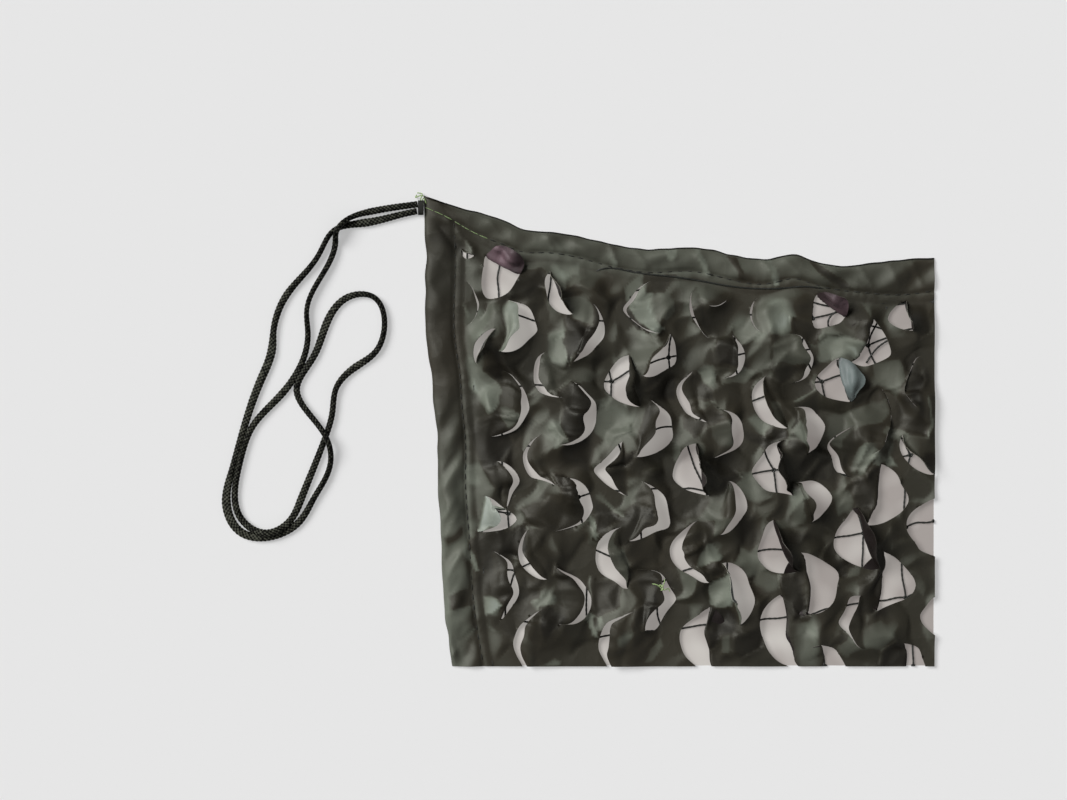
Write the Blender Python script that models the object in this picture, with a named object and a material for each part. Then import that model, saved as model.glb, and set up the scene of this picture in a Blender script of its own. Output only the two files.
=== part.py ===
"""Camouflage net: the corner length of an incised garnish cloth, laid flat, with its tie cord.

A dark coated cloth is turned under and sewn along its left and top edges. C-shaped cuts let
half-disc leaves curl up out of it. A knotted string mesh lies under the cloth, and a braided
cord, one loop with both legs bound together, comes out of the corner.

Frame: +X along the top hem, +Y towards it, +Z up. The origin is under the middle of the net,
on the surface it lies on. Sizes below are in millimetres.
"""

import math

import bpy
import numpy as np
from mathutils import Vector
from mathutils.geometry import delaunay_2d_cdt

MM = 0.001

# ---- the cut length ------------------------------------------------------------------------
HALF_WIDTH = 170.0
HALF_HEIGHT = 156.7
# x of the left hem's fold, from the cut bottom edge up to the corner: (y, x)
LEFT_EDGE = [(-156.7, -151.3), (-133, -154.7), (-106, -157.3), (-69, -158.7), (-36, -160.7),
             (-6, -160.9), (17, -163.3), (41, -165.3), (57, -168), (87, -169.2), (124, -168.8),
             (141, -169.7), (156.7, -170)]
# y of the top hem's fold, from the corner to the cut right edge: (x, y)
TOP_EDGE = [(-170, 156.7), (-153, 150.7), (-128, 144), (-115, 139.3), (-106, 135), (-89, 132.7),
            (-66, 129.3), (-19, 120.9), (11, 122), (37, 116.9), (64, 115.3), (77, 117.2),
            (87, 114), (111, 110), (141, 113.3), (170, 115.3)]

# ---- cloth ---------------------------------------------------------------------------------
CLOTH_THICK = 1.0
HEM_WIDTH = 20.0
HEM_THICK = 2.0             # two layers, pressed flat at the fold
HEM_PUFF = 1.3              # how far the turned layer stands up between its puckers
PUCKER_PITCH = 23.0
CLOTH_LEVEL = 5.2           # height of the cloth's middle surface where nothing lifts it
RISE_LENGTH = 13.0          # from the hem's inner edge up to that level
LOWEST_MIDDLE = 2.2         # the cloth over a string: string, 0.5 of air, half a thickness
CUT_EDGE_LEVEL = 3.4
CUT_EDGE_REACH = 25.0       # the cloth comes down to that level over this length
# The cloth's long gentle waves: their height, their lengths across and along the net, and
# how they wander
WAVE_HEIGHT, WAVE_X, WAVE_Y = 0.9, 17.0, 23.0
WAVE_WANDER, WAVE_WANDER_Y, WAVE_LEAN = 1.3, 31.0, 60.0
KERF = 1.1                  # air between a leaf's edge and the edge of its cut
EDGE_STEP = 9.5
# places along each side of the net, its corners among them
BOTTOM_SPOTS, RIGHT_SPOTS, TOP_SPOTS, LEFT_SPOTS = 34, 30, 44, 38
GRID_STEP = 9.6
EDGE_CLEAR, SPOT_CLEAR = 0.4, 0.52   # of a grid step, between a grid place and an edge or place
MERGE_WITHIN = 1e-5
CUT_SIDES = 9               # straight sides along one cut's curved edge
ROOT_PARTS = 6              # straight parts along one leaf's root
BENT_SHARE = 0.7            # a column of a leaf that bends over less than this has a straight end
TALL_SHARE = 0.4            # a column shorter than this share of the leaf's depth has two steps
LEAST_COLUMN = 0.5
HALVINGS = 30
ROOT_LIFT = 2.6             # a curled leaf lifts the cloth behind its root
ROOT_REACH = 11.0
SLOPE_STEP = 2.0            # a leaf leaves its root at the slope of the cloth just behind it
UPRIGHT_FROM = 0.363        # a gape of this many depths or more turns the leaf past upright
LEAN_BACK = math.radians(25)
SHORTEST_RADIUS = 1.6
FOLDED_FROM = 1.2           # a gape of this many depths or more is a leaf folded back
FOLDED_TURN = math.radians(160)
FOLDED_BEND = 0.35

# One row for each leaf cut. x, y: the middle of the leaf's root. facing: the way the leaf
# points, in degrees from +X. half: half the root's length. depth: root to tip, laid flat.
# gape: the width of the opening left between the curled tip and the cut's edge, more than
# the depth where the leaf is folded back past its root.
LEAVES = [
    # name      x     y  facing  half  depth  gape
    ("R1a", -117,   71,    -8,   18,   23,  13.0),
    ("R1b", -122,   18,   -10,   22,   23,   4.5),
    ("R0c", -133,  -60,   -12,   10,   24,   9.0),
    ("R1c", -119,  -36,    12,   16,   12,   4.5),
    ("R1d", -122, -103,     7,   23,   15,   5.5),
    ("R2a",  -65,   66,   -16,   19,   16,   6.0),
    ("R2b",  -77,   11,   -13,   22,   22,   5.0),
    ("R2c",  -80,  -48,    -6,   19,   23,   5.5),
    ("R2d",  -82, -111,     0,   20,   23,   5.5),
    ("R3a",  -15,   52,   -35,   17,   13,  12.0),
    ("R3b",  -25,    2,   -15,   19,   22,  12.0),
    ("R3c",  -29,  -53,    -8,   20,   23,  10.0),
    ("R3d",  -27, -112,     2,   21,   25,  10.0),
    ("R4a",   33,   50,    -8,   15,   11,   4.5),
    ("R4b",   23,    0,    -3,   17,   22,   6.5),
    ("R4c",   28,  -51,    -6,   18,   17,   7.5),
    ("R4d",   34, -108,    16,   21,   16,  13.0),
    ("R5a",   72,   49,     5,   17,   18,   4.5),
    ("R5b",   80,    0,    11,   16,   18,  12.0),
    ("R5c",   84,  -46,    13,   15,   18,  13.5),
    ("R5d",   85, -102,     8,   21,   23,  25.0),
    ("R6a",  125,   61,   -14,   16,   20,  19.5),
    ("R6c",  132,  -43,    -5,   20,   21,  23.0),
    ("R6d",  136, -100,    -7,   19,   20,  18.5),
    ("L0a", -129,   56,   150,   13,    7,   6.0),
    ("L1a", -115,  105,  -165,   14,   16,  16.5),
    ("L1b",  -82,   38,  -164,   16,   16,   4.5),
    ("L1c",  -87,  -19,  -165,   18,   16,   4.5),
    ("L1d",  -94,  -82,  -156,   17,   13,   5.0),
    ("L1e",  -92, -142,   178,   23,   19,   5.0),
    ("L2a",  -78,   90,  -153,   16,   11,   6.5),
    ("L2f",  -16,   83,  -158,   15,   24,   6.0),
    ("L2b",  -29,   33,  -169,   18,   21,  11.0),
    ("L2c",  -35,  -25,  -172,   17,   20,   7.5),
    ("L2d",  -34,  -83,  -171,   21,   23,  10.5),
    ("L2e",  -34, -142,   174,   22,   20,   5.5),
    ("L3b",   14,   23,  -163,   18,   15,   5.0),
    ("L3c",   16,  -25,  -168,   18,   21,  18.0),
    ("L3d",   17,  -80,  -166,   21,   22,   9.0),
    ("L3e",   24, -139,  -175,   21,   24,  21.0),
    ("L4b",   64,   20,  -157,   19,   15,   8.5),
    ("L4c",   72,  -25,  -175,   19,   23,  15.5),
    ("L4d",   71,  -77,  -154,   18,   21,  19.5),
    ("L4e",   75, -133,  -172,   24,   22,  21.0),
    ("L5a",  113,   73,   176,   12,   27,  27.0),
    ("L5b",  108,   34,  -167,   14,   19,  30.0),
    ("L5c",  116,  -14,   175,   17,   17,   7.5),
    ("L5d",  126,  -71,  -162,   21,   24,  23.5),
    ("L5e",  125, -126,  -178,   18,   18,   9.5),
    ("L6a",  153,   77,  -170,   10,   13,  12.5),
    ("L6c",  160,  -16,  -140,   16,    9,   6.0),
    ("L6d",  172,  -64,  -174,   19,   21,  21.0),
    ("L6e",  174, -123,   180,   14,   13,  13.0),
]

# The main folds of the laid cloth, each a soft ridge (or, below zero, a trough) from one
# point to another.
FOLDS = [
    # x0    y0    x1    y1  width height
    (58,    82,   62,   66,  11,   5.0),     # the closed leaf under the top hem
    (20,    84,   34,   88,   9,   2.6),
    (60,    60,   80,   42,  10,   3.0),
    (-134,  31, -121,   12,   8,   2.6),
    (-84,    4,  -76,  -10,   8,   2.8),
    (-50,   20,  -28,  -12,   9,   2.2),
    (-66,  -56,  -54,  -70,   7,   2.6),
    (-60, -122,  -54, -134,   7,   2.4),
    (126,   82,  124,   60,   7,   3.4),
    (118,  -10,  140,  -26,   6,   2.0),
    (166,   20,  166,   -4,   6,   2.6),
    (150,   40,  158,   14,   9,   3.0),
    (14,   -68,   28,  -92,   8,   2.4),
    (-8,    80,  -16,   62,  10,   3.6),
    (-104,  90,  -96,   70,   9,   2.2),
    (-136, 128, -148,  110,   7,  -2.0),     # the crease inside the corner
    (100,  -66,  112,  -88,   8,   2.0),
    (48,   -96,   40, -118,   8,   2.2),
    (-104, -60, -108,  -84,   8,   2.0),
    (-134, -100, -136, -130,  8,   2.0),
]

# Where the cloth is tied down to the mesh: (x, y) of the tie
TIES = [(-45, 97), (42, 88), (-137, 29), (-130, -93), (-85, 69), (134, 39), (-117, -11)]
TIE_REACH = 9.0

# ---- string mesh ---------------------------------------------------------------------------
STRING_WIDE = 1.5
STRING_TALL = 1.2
KNOT_SPREAD = 1.5           # a knot is this much wider than its strings
CORNER_ROUNDS = 12          # each brings the corner of an inset line nearer to its true place
BORDER_STEP = 5.0
BORDER_INSET = 27.5         # the border string, measured from the fold of each hem
STRING_PARTS = 3
SLACK = 0.045               # sideways belly of a string, as a share of its length
# One row for each crosswise string: its knots from the left border to the cut right edge
KNOT_ROWS = [
    [(-119, 79), (-85, 69), (-45, 73), (-2, 73), (42, 77), (89, 75), (137, 82), (170, 86)],
    [(-115, 29), (-79, 28), (-45, 33), (-7, 49), (37, 50), (81, 53), (126, 57), (170, 71)],
    [(-117, -11), (-79, -13), (-41, -7), (4, 3), (47, 19), (95, 33), (134, 39), (170, 46)],
    [(-114, -55), (-67, -44), (-26, -40), (18, -40), (63, -26), (117, -31), (154, -16), (170, -13)],
    [(-109, -93), (-59, -78), (-16, -103), (32, -86), (79, -79), (123, -68), (151, -64), (170, -60)],
    [(-116, -126), (-59, -139), (-11, -134), (39, -131), (86, -123), (125, -115), (151, -111),
     (170, -107)],
]
# x of each lengthwise string on the cut bottom edge
BOTTOM_KNOTS = [-116, -54, -10, 42, 97, 131, 156]

# ---- tie cord ------------------------------------------------------------------------------
CORD_DIAMETER = 4.2
CORD_POINTS = 80
CORD_SIDES_RESOLUTION = 2
CORD_CLEAR = 0.05           # between the cord and the surface
HUMP = 4.7                  # a strand that crosses over another is lifted by this much
# The cord's middle line on the surface, from one leg at the corner round to the other.
# over: 1 where the strand lies on top of the strand it crosses.
CORD_ROUTE = [
    # x        y     over
    (-174.2, 151.0,  0.0),
    (-209.5, 145.7,  0.0),
    (-220.0, 140.6,  0.75),
    (-228.2, 132.4,  1.0),
    (-230.6, 119.5,  0.0),
    (-247.4, 86.5,   0.0),
    (-247.2, 66.0,   0.0),
    (-251.4, 45.8,   0.0),
    (-264.6, 24.6,   0.0),
    (-285.2, 2.8,    0.0),
    (-291.6, -19.0,  0.0),
    (-289.2, -59.6,  0.0),
    (-276.8, -68.0,  0.0),
    (-252.0, -46.4,  0.0),
    (-234.8, -2.0,   0.0),
    (-230.6, 12.6,   0.0),
    (-228.6, 28.4,   0.0),
    (-201.2, 54.0,   0.0),
    (-195.8, 73.0,   0.0),
    (-203.8, 89.4,   0.0),
    (-220.4, 89.2,   0.0),
    (-235.0, 72.0,   0.0),
    (-243.4, 49.4,   0.0),
    (-254.6, 29.2,   0.0),
    (-240.6, 4.2,    0.75),
    (-233.4, -6.8,   0.75),
    (-233.2, -25.2,  0.0),
    (-243.4, -44.2,  0.0),
    (-254.0, -61.4,  0.0),
    (-271.6, -72.4,  0.0),
    (-292.8, -66.6,  0.0),
    (-303.4, -49.8,  0.0),
    (-299.6, -26.0,  0.0),
    (-292.8, 2.0,    0.0),
    (-270.4, 66.0,   0.0),
    (-263.0, 88.2,   0.0),
    (-240.4, 115.8,  0.0),
    (-231.4, 132.6,  0.0),
    (-212.6, 138.2,  0.0),
    (-174.6, 146.4,  0.0),
]

# ---- cord whipping -------------------------------------------------------------------------
WHIP_START = 0.8            # past the legs' ends, whose slanted faces reach nearly half of that
WHIP_LENGTH = 3.0
WHIP_WIDE = 10.2
WHIP_TALL = 5.0
WHIP_SIDES = 16
WHIP_SQUARE = 0.7           # below 1 squares the section's round outline

COLOURS = {
    "net_cloth": (0.055, 0.058, 0.048, 0.42),
    "backing_net": (0.012, 0.014, 0.012, 0.8),
    "tie_cord": (0.020, 0.022, 0.016, 0.75),
    "cord_whipping": (0.016, 0.024, 0.012, 0.8),
}


def clear_scene():
    for item in list(bpy.data.objects):
        bpy.data.objects.remove(item, do_unlink=True)


def material(name):
    """The Principled finish of one piece."""
    red, green, blue, roughness = COLOURS[name]
    finish = bpy.data.materials.new(name)
    finish.use_nodes = True
    shader = finish.node_tree.nodes["Principled BSDF"]
    shader.inputs["Base Color"].default_value = (red, green, blue, 1.0)
    shader.inputs["Roughness"].default_value = roughness
    shader.inputs["Metallic"].default_value = 0.0
    return finish


def mesh_object(name, points, faces):
    """Make one named object from points in millimetres."""
    mesh = bpy.data.meshes.new(name)
    mesh.from_pydata([tuple(MM * value for value in point) for point in points], [], faces)
    mesh.validate()
    mesh.materials.append(material(name))
    piece = bpy.data.objects.new(name, mesh)
    bpy.context.scene.collection.objects.link(piece)
    return piece


def spline(knots, values, at):
    """Read a natural cubic curve through (knots, values) at the places in at."""
    knots, values, at = (np.asarray(item, float) for item in (knots, values, at))
    count = len(knots)
    gap = np.diff(knots)
    slope = np.diff(values) / gap
    system, right = np.eye(count), np.zeros(count)
    for row in range(1, count - 1):
        system[row, row - 1:row + 2] = gap[row - 1], 2 * (gap[row - 1] + gap[row]), gap[row]
        right[row] = 6 * (slope[row] - slope[row - 1])
    bend = np.linalg.solve(system, right)
    part = np.clip(np.searchsorted(knots, at) - 1, 0, count - 2)
    before, after, wide = at - knots[part], knots[part + 1] - at, gap[part]
    return ((bend[part] * after ** 3 + bend[part + 1] * before ** 3) / (6 * wide)
            + (values[part] / wide - bend[part] * wide / 6) * after
            + (values[part + 1] / wide - bend[part + 1] * wide / 6) * before)


def left_edge(y):
    return spline([row[0] for row in LEFT_EDGE], [row[1] for row in LEFT_EDGE], y)


def top_edge(x):
    return spline([row[0] for row in TOP_EDGE], [row[1] for row in TOP_EDGE], x)


def hem_distance(x, y):
    """How far a place lies inside the nearer of the two hemmed edges."""
    return np.minimum(x - left_edge(y), top_edge(x) - y)


def leaf_frame(leaf):
    """Root middle, direction the leaf points, and direction along its root."""
    _, x, y, facing, half, depth, gape = leaf
    angle = math.radians(facing)
    out = np.array([math.cos(angle), math.sin(angle)])
    along = np.array([-out[1], out[0]])
    return np.array([x, y], float), out, along


def capsule_distance(x, y, x0, y0, x1, y1):
    """Distance of places from the straight line between two points."""
    run = np.array([x1 - x0, y1 - y0], float)
    share = np.clip(((x - x0) * run[0] + (y - y0) * run[1]) / (run @ run), 0, 1)
    return np.hypot(x - x0 - share * run[0], y - y0 - share * run[1])


def curl(leaf):
    """The turn of a leaf from root to tip, in radians, and the length over which it bends.

    A leaf that covers most of its cut is one long arc. Seen from above an arc reaches no
    further than its radius once it has passed the upright, so a wider opening needs a
    shorter bend, with the rest of the leaf straight and nearly upright.
    """
    depth, gape = leaf[5], leaf[6]
    share = gape / depth
    if share > FOLDED_FROM:
        return FOLDED_TURN, FOLDED_BEND * depth
    if share > UPRIGHT_FROM:
        over = (min(share, 1.0) - UPRIGHT_FROM) / (1 - UPRIGHT_FROM)
        turn = math.pi / 2 + LEAN_BACK * over
        return turn, turn * max(depth - gape, SHORTEST_RADIUS)
    low, high = 0.05, math.pi / 2
    for _ in range(HALVINGS):
        turn = (low + high) / 2
        if math.sin(turn) / turn > 1 - share:
            low = turn
        else:
            high = turn
    return turn, depth


def leaf_profile(slope, turn, length, v):
    """How far out and how far up a place lies that is v from the root along the leaf: an arc
    of steady bend for the given length, then straight on."""
    arc, straight = min(v, length), max(0.0, v - length)
    bent = slope + turn * arc / length
    out = length / turn * (math.sin(bent) - math.sin(slope))
    up = length / turn * (math.cos(slope) - math.cos(bent))
    return out + straight * math.cos(bent), up + straight * math.sin(bent)


def cloth_height(x, y):
    """Height of the cloth's middle surface between and behind its leaves."""
    inside = np.clip((hem_distance(x, y) - HEM_WIDTH) / RISE_LENGTH, 0, 1)
    cut_side = np.minimum(HALF_WIDTH - x, y + HALF_HEIGHT)
    away = np.clip(cut_side / CUT_EDGE_REACH, 0, 1)
    level = CUT_EDGE_LEVEL + (CLOTH_LEVEL - CUT_EDGE_LEVEL) * away
    wander = WAVE_WANDER * np.sin(y / WAVE_WANDER_Y)
    height = level + WAVE_HEIGHT * np.sin(x / WAVE_X + wander) * np.sin(y / WAVE_Y + x / WAVE_LEAN)
    for x0, y0, x1, y1, width, lift in FOLDS:
        height += lift * np.exp(-(capsule_distance(x, y, x0, y0, x1, y1) / width) ** 2)
    for leaf in LEAVES:
        middle, out, along = leaf_frame(leaf)
        behind = -((x - middle[0]) * out[0] + (y - middle[1]) * out[1])
        beside = (x - middle[0]) * along[0] + (y - middle[1]) * along[1]
        near = np.exp(-(behind / ROOT_REACH) ** 2 - (beside / leaf[4]) ** 2)
        height += ROOT_LIFT * curl(leaf)[0] / math.pi * near
    for tie_x, tie_y in TIES:
        pull = np.exp(-(np.hypot(x - tie_x, y - tie_y) / TIE_REACH) ** 2)
        height = height * (1 - pull) + LOWEST_MIDDLE * pull
    height = np.maximum(height, LOWEST_MIDDLE)
    return HEM_THICK / 2 + (height - HEM_THICK / 2) * (1 - (1 - inside) ** 2)


def cut_outline(leaf):
    """Half an ellipse: the root from one end to the other, then the curved edge back."""
    middle, out, along = leaf_frame(leaf)
    half, depth = leaf[4:6]
    turns = [math.pi * step / ROOT_PARTS for step in range(ROOT_PARTS + 1)]
    root = [-half] + [(KERF - half) * math.cos(turn) for turn in turns] + [half]
    points = [middle + along * place for place in root]
    for step in range(1, CUT_SIDES):
        turn = math.pi * step / CUT_SIDES
        points.append(middle + along * half * math.cos(turn) + out * depth * math.sin(turn))
    return points


def inside_polygon(points, polygon):
    """True for each point that lies within a closed outline."""
    result = np.zeros(len(points), bool)
    for (x0, y0), (x1, y1) in zip(polygon, np.roll(polygon, -1, axis=0)):
        if y0 == y1:
            continue
        spans = (points[:, 1] < y0) != (points[:, 1] < y1)
        result ^= spans & (points[:, 0] < x0 + (points[:, 1] - y0) * (x1 - x0) / (y1 - y0))
    return result


def net_outline():
    """The cut length's edge, anticlockwise from its bottom left corner."""
    across, up = np.linspace(LEFT_EDGE[0][1], HALF_WIDTH, BOTTOM_SPOTS)[:-1], -HALF_HEIGHT
    bottom = [(x, up) for x in across]
    right = [(HALF_WIDTH, y) for y in np.linspace(up, TOP_EDGE[-1][1], RIGHT_SPOTS)[:-1]]
    across = np.linspace(HALF_WIDTH, -HALF_WIDTH, TOP_SPOTS)[:-1]
    down = np.linspace(HALF_HEIGHT, -HALF_HEIGHT, LEFT_SPOTS)[:-1]
    top = list(zip(across, top_edge(across)))
    left = list(zip(left_edge(down), down))
    return bottom + right + top + left


def inset_line(distance, step):
    """A line that runs a set distance inside both hemmed edges, from the cut bottom edge
    up to the corner and along to the cut right edge."""
    up = np.arange(-HALF_HEIGHT, HALF_HEIGHT, step)
    left = np.stack([left_edge(up) + distance, up], axis=1)
    left = left[top_edge(left[:, 0]) - left[:, 1] > distance]
    across = np.arange(HALF_WIDTH, -HALF_WIDTH, -step)[::-1]
    top = np.stack([across, top_edge(across) - distance], axis=1)
    top = top[top[:, 0] - left_edge(top[:, 1]) > distance]
    corner = left[-1]
    for _ in range(CORNER_ROUNDS):
        corner = np.array([left_edge(corner[1]) + distance, top_edge(corner[0]) - distance])
    return [tuple(point) for point in left] + [tuple(corner)] + [tuple(point) for point in top]


def cloth_triangles():
    """The flat pattern of the sheet: its places and triangles, without the leaf cuts."""
    outline = net_outline()
    hem_line = inset_line(HEM_WIDTH, EDGE_STEP)
    middle_line = inset_line(HEM_WIDTH / 2, EDGE_STEP)[1:-1]
    cuts = [cut_outline(leaf) for leaf in LEAVES]
    points, edges = list(outline), [(i, (i + 1) % len(outline)) for i in range(len(outline))]
    edges += [(len(points) + i, len(points) + i + 1) for i in range(len(hem_line) - 1)]
    points += hem_line + middle_line
    for cut in cuts:
        first = len(points)
        edges += [(first + i, first + (i + 1) % len(cut)) for i in range(len(cut))]
        points += [tuple(point) for point in cut]
    fixed = np.array(points)
    rows = int(2 * HALF_HEIGHT / (GRID_STEP * math.sqrt(0.75))) + 1
    for row in range(rows):
        y = -HALF_HEIGHT + GRID_STEP * (0.5 + row * math.sqrt(0.75))
        xs = np.arange(-HALF_WIDTH + GRID_STEP * (0.5 if row % 2 else 1.0), HALF_WIDTH, GRID_STEP)
        spots = np.stack([xs, np.full(len(xs), y)], axis=1)
        clear = hem_distance(spots[:, 0], spots[:, 1]) > HEM_WIDTH + GRID_STEP * 0.5
        clear &= np.minimum(HALF_WIDTH - spots[:, 0], spots[:, 1] + HALF_HEIGHT) > GRID_STEP * EDGE_CLEAR
        far = np.min(np.linalg.norm(spots[:, None] - fixed[None], axis=2), axis=1)
        clear &= far > GRID_STEP * SPOT_CLEAR
        for cut in cuts:
            clear &= ~inside_polygon(spots, np.array(cut))
        points += [tuple(spot) for spot in spots[clear]]
    for tie in TIES:
        points.append(tuple(map(float, tie)))
    places, _, triangles, *_ = delaunay_2d_cdt(
        [Vector(point) for point in points], edges, [], 0, MERGE_WITHIN)
    places = np.array([tuple(place) for place in places])
    middles = np.array([places[list(triangle)].mean(axis=0) for triangle in triangles])
    keep = inside_polygon(middles, np.array(outline))
    for cut in cuts:
        keep &= ~inside_polygon(middles, np.array(cut))
    return places, [tuple(tri) for tri, kept in zip(triangles, keep) if kept]


def add_leaf(leaf, places, used, points, faces):
    """Curl one leaf up from its root, as columns of places that start on the root."""
    middle, out, along = leaf_frame(leaf)
    _, _, _, _, half, depth, _ = leaf
    reach = half - KERF
    beside, ahead = (places - middle) @ along, (places - middle) @ out
    on_root = [i for i in used if abs(ahead[i]) < 1e-3 and abs(beside[i]) < reach + 1e-3]
    on_root.sort(key=lambda i: beside[i])
    columns = []
    for i in on_root:
        x, y, z = points[i]
        length = (depth - KERF) * math.sqrt(max(0.0, 1 - (beside[i] / reach) ** 2))
        if length < LEAST_COLUMN:
            columns.append([i])
            continue
        step = SLOPE_STEP * out
        ahead_z, behind_z = cloth_height(np.array([x, x - step[0]]), np.array([y, y - step[1]]))
        slope = max(0.0, math.atan2(ahead_z - behind_z, SLOPE_STEP))
        turn, bend = curl(leaf)
        if bend < BENT_SHARE * length:
            stops = [bend / 2, bend, length]
        elif length > TALL_SHARE * depth:
            stops = [length / 3, 2 * length / 3, length]
        else:
            stops = [length / 2, length]
        column = [i]
        for stop in stops:
            run, lift = leaf_profile(slope, turn - slope, bend, stop)
            points.append((x + out[0] * run, y + out[1] * run, z + lift))
            column.append(len(points) - 1)
        columns.append(column)
    for left, right in zip(columns, columns[1:]):
        a, b = 0, 0
        while a < len(left) - 1 or b < len(right) - 1:
            ahead_left = (a + 1) / len(left) if a < len(left) - 1 else 2
            ahead_right = (b + 1) / len(right) if b < len(right) - 1 else 2
            if ahead_left <= ahead_right:
                faces.append((left[a], left[a + 1], right[b]))
                a += 1
            else:
                faces.append((left[a], right[b + 1], right[b]))
                b += 1


def build_cloth():
    """The sheet with its hems, folds and leaves, given its thickness along its normals."""
    places, triangles = cloth_triangles()
    used = sorted({i for triangle in triangles for i in triangle})
    heights = cloth_height(places[:, 0], places[:, 1])
    points = [(x, y, z) for (x, y), z in zip(places, heights)]
    faces = []
    for a, b, c in triangles:
        (ax, ay), (bx, by), (cx, cy) = places[a], places[b], places[c]
        turned = (bx - ax) * (cy - ay) - (by - ay) * (cx - ax) > 0
        faces.append((a, b, c) if turned else (a, c, b))
    for leaf in LEAVES:
        middle, _, _ = leaf_frame(leaf)
        if middle[0] < HALF_WIDTH:
            add_leaf(leaf, places, used, points, faces)
    kept = sorted({i for face in faces for i in face})
    order = {old: new for new, old in enumerate(kept)}
    points = np.array([points[i] for i in kept])
    faces = np.array([[order[i] for i in face] for face in faces])

    normals = np.zeros_like(points)
    across = np.cross(points[faces[:, 1]] - points[faces[:, 0]],
                      points[faces[:, 2]] - points[faces[:, 0]])
    for corner in range(3):
        np.add.at(normals, faces[:, corner], across)
    normals /= np.linalg.norm(normals, axis=1)[:, None]
    inside = hem_distance(points[:, 0], points[:, 1])
    hem = (inside < HEM_WIDTH + 0.01) & (points[:, 2] < HEM_THICK / 2 + 0.01)
    normals[hem] = (0, 0, 1)
    upper = points + normals * CLOTH_THICK / 2
    lower = points - normals * CLOTH_THICK / 2
    run = points[:, 0] - points[:, 1]
    puff = HEM_PUFF * np.clip(np.sin(math.pi * inside / HEM_WIDTH), 0, 1)
    puff *= 0.5 + 0.5 * np.sin(2 * math.pi * run / PUCKER_PITCH)
    upper[hem, 2] = (HEM_THICK + puff)[hem]
    lower[hem, 2] = 0.0
    for side in (upper, lower):
        side[:, 0] = np.clip(side[:, 0], -HALF_WIDTH, HALF_WIDTH)
        side[:, 1] = np.maximum(side[:, 1], -HALF_HEIGHT)

    count = len(points)
    solid = [tuple(face) for face in faces] + [(a + count, c + count, b + count)
                                               for a, b, c in faces]
    sides = {(a, b) for face in faces for a, b in zip(face, np.roll(face, -1))}
    for a, b in sorted(sides):
        if (b, a) not in sides:
            solid += [(b, a, a + count), (b, a + count, b + count)]
    return mesh_object("net_cloth", np.vstack([upper, lower]), [tuple(map(int, f)) for f in solid])


def string_path(start, end, side):
    """A slack string between two knots, bellied sideways as a flat arc."""
    start, end = np.array(start, float), np.array(end, float)
    run = end - start
    across = np.array([-run[1], run[0]]) * SLACK * side
    shares = np.linspace(0, 1, STRING_PARTS + 1)
    return [start + run * share + across * 4 * share * (1 - share) for share in shares]


def mesh_knots():
    """Every knot of the string mesh, row by row: the border under the top hem, the crosswise
    strings, and the cut ends along the bottom edge."""
    rows = [[] for _ in range(len(KNOT_ROWS) + 2)]
    corner = inset_line(BORDER_INSET, BORDER_STEP)
    corner = max(corner, key=lambda point: point[1])
    across = [row[0] for row in KNOT_ROWS[0]]
    rows[0] = [corner] + [(x, float(top_edge(np.array([x]))[0]) - BORDER_INSET) for x in across]
    for number, knots in enumerate(KNOT_ROWS, start=1):
        y = knots[0][1]
        border = (float(left_edge(np.array([y]))[0]) + BORDER_INSET, y)
        rows[number] = [border] + knots
    border = (float(left_edge(np.array([-HALF_HEIGHT]))[0]) + BORDER_INSET, -HALF_HEIGHT)
    rows[-1] = [border] + [(x, -HALF_HEIGHT) for x in BOTTOM_KNOTS]
    return rows


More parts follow.
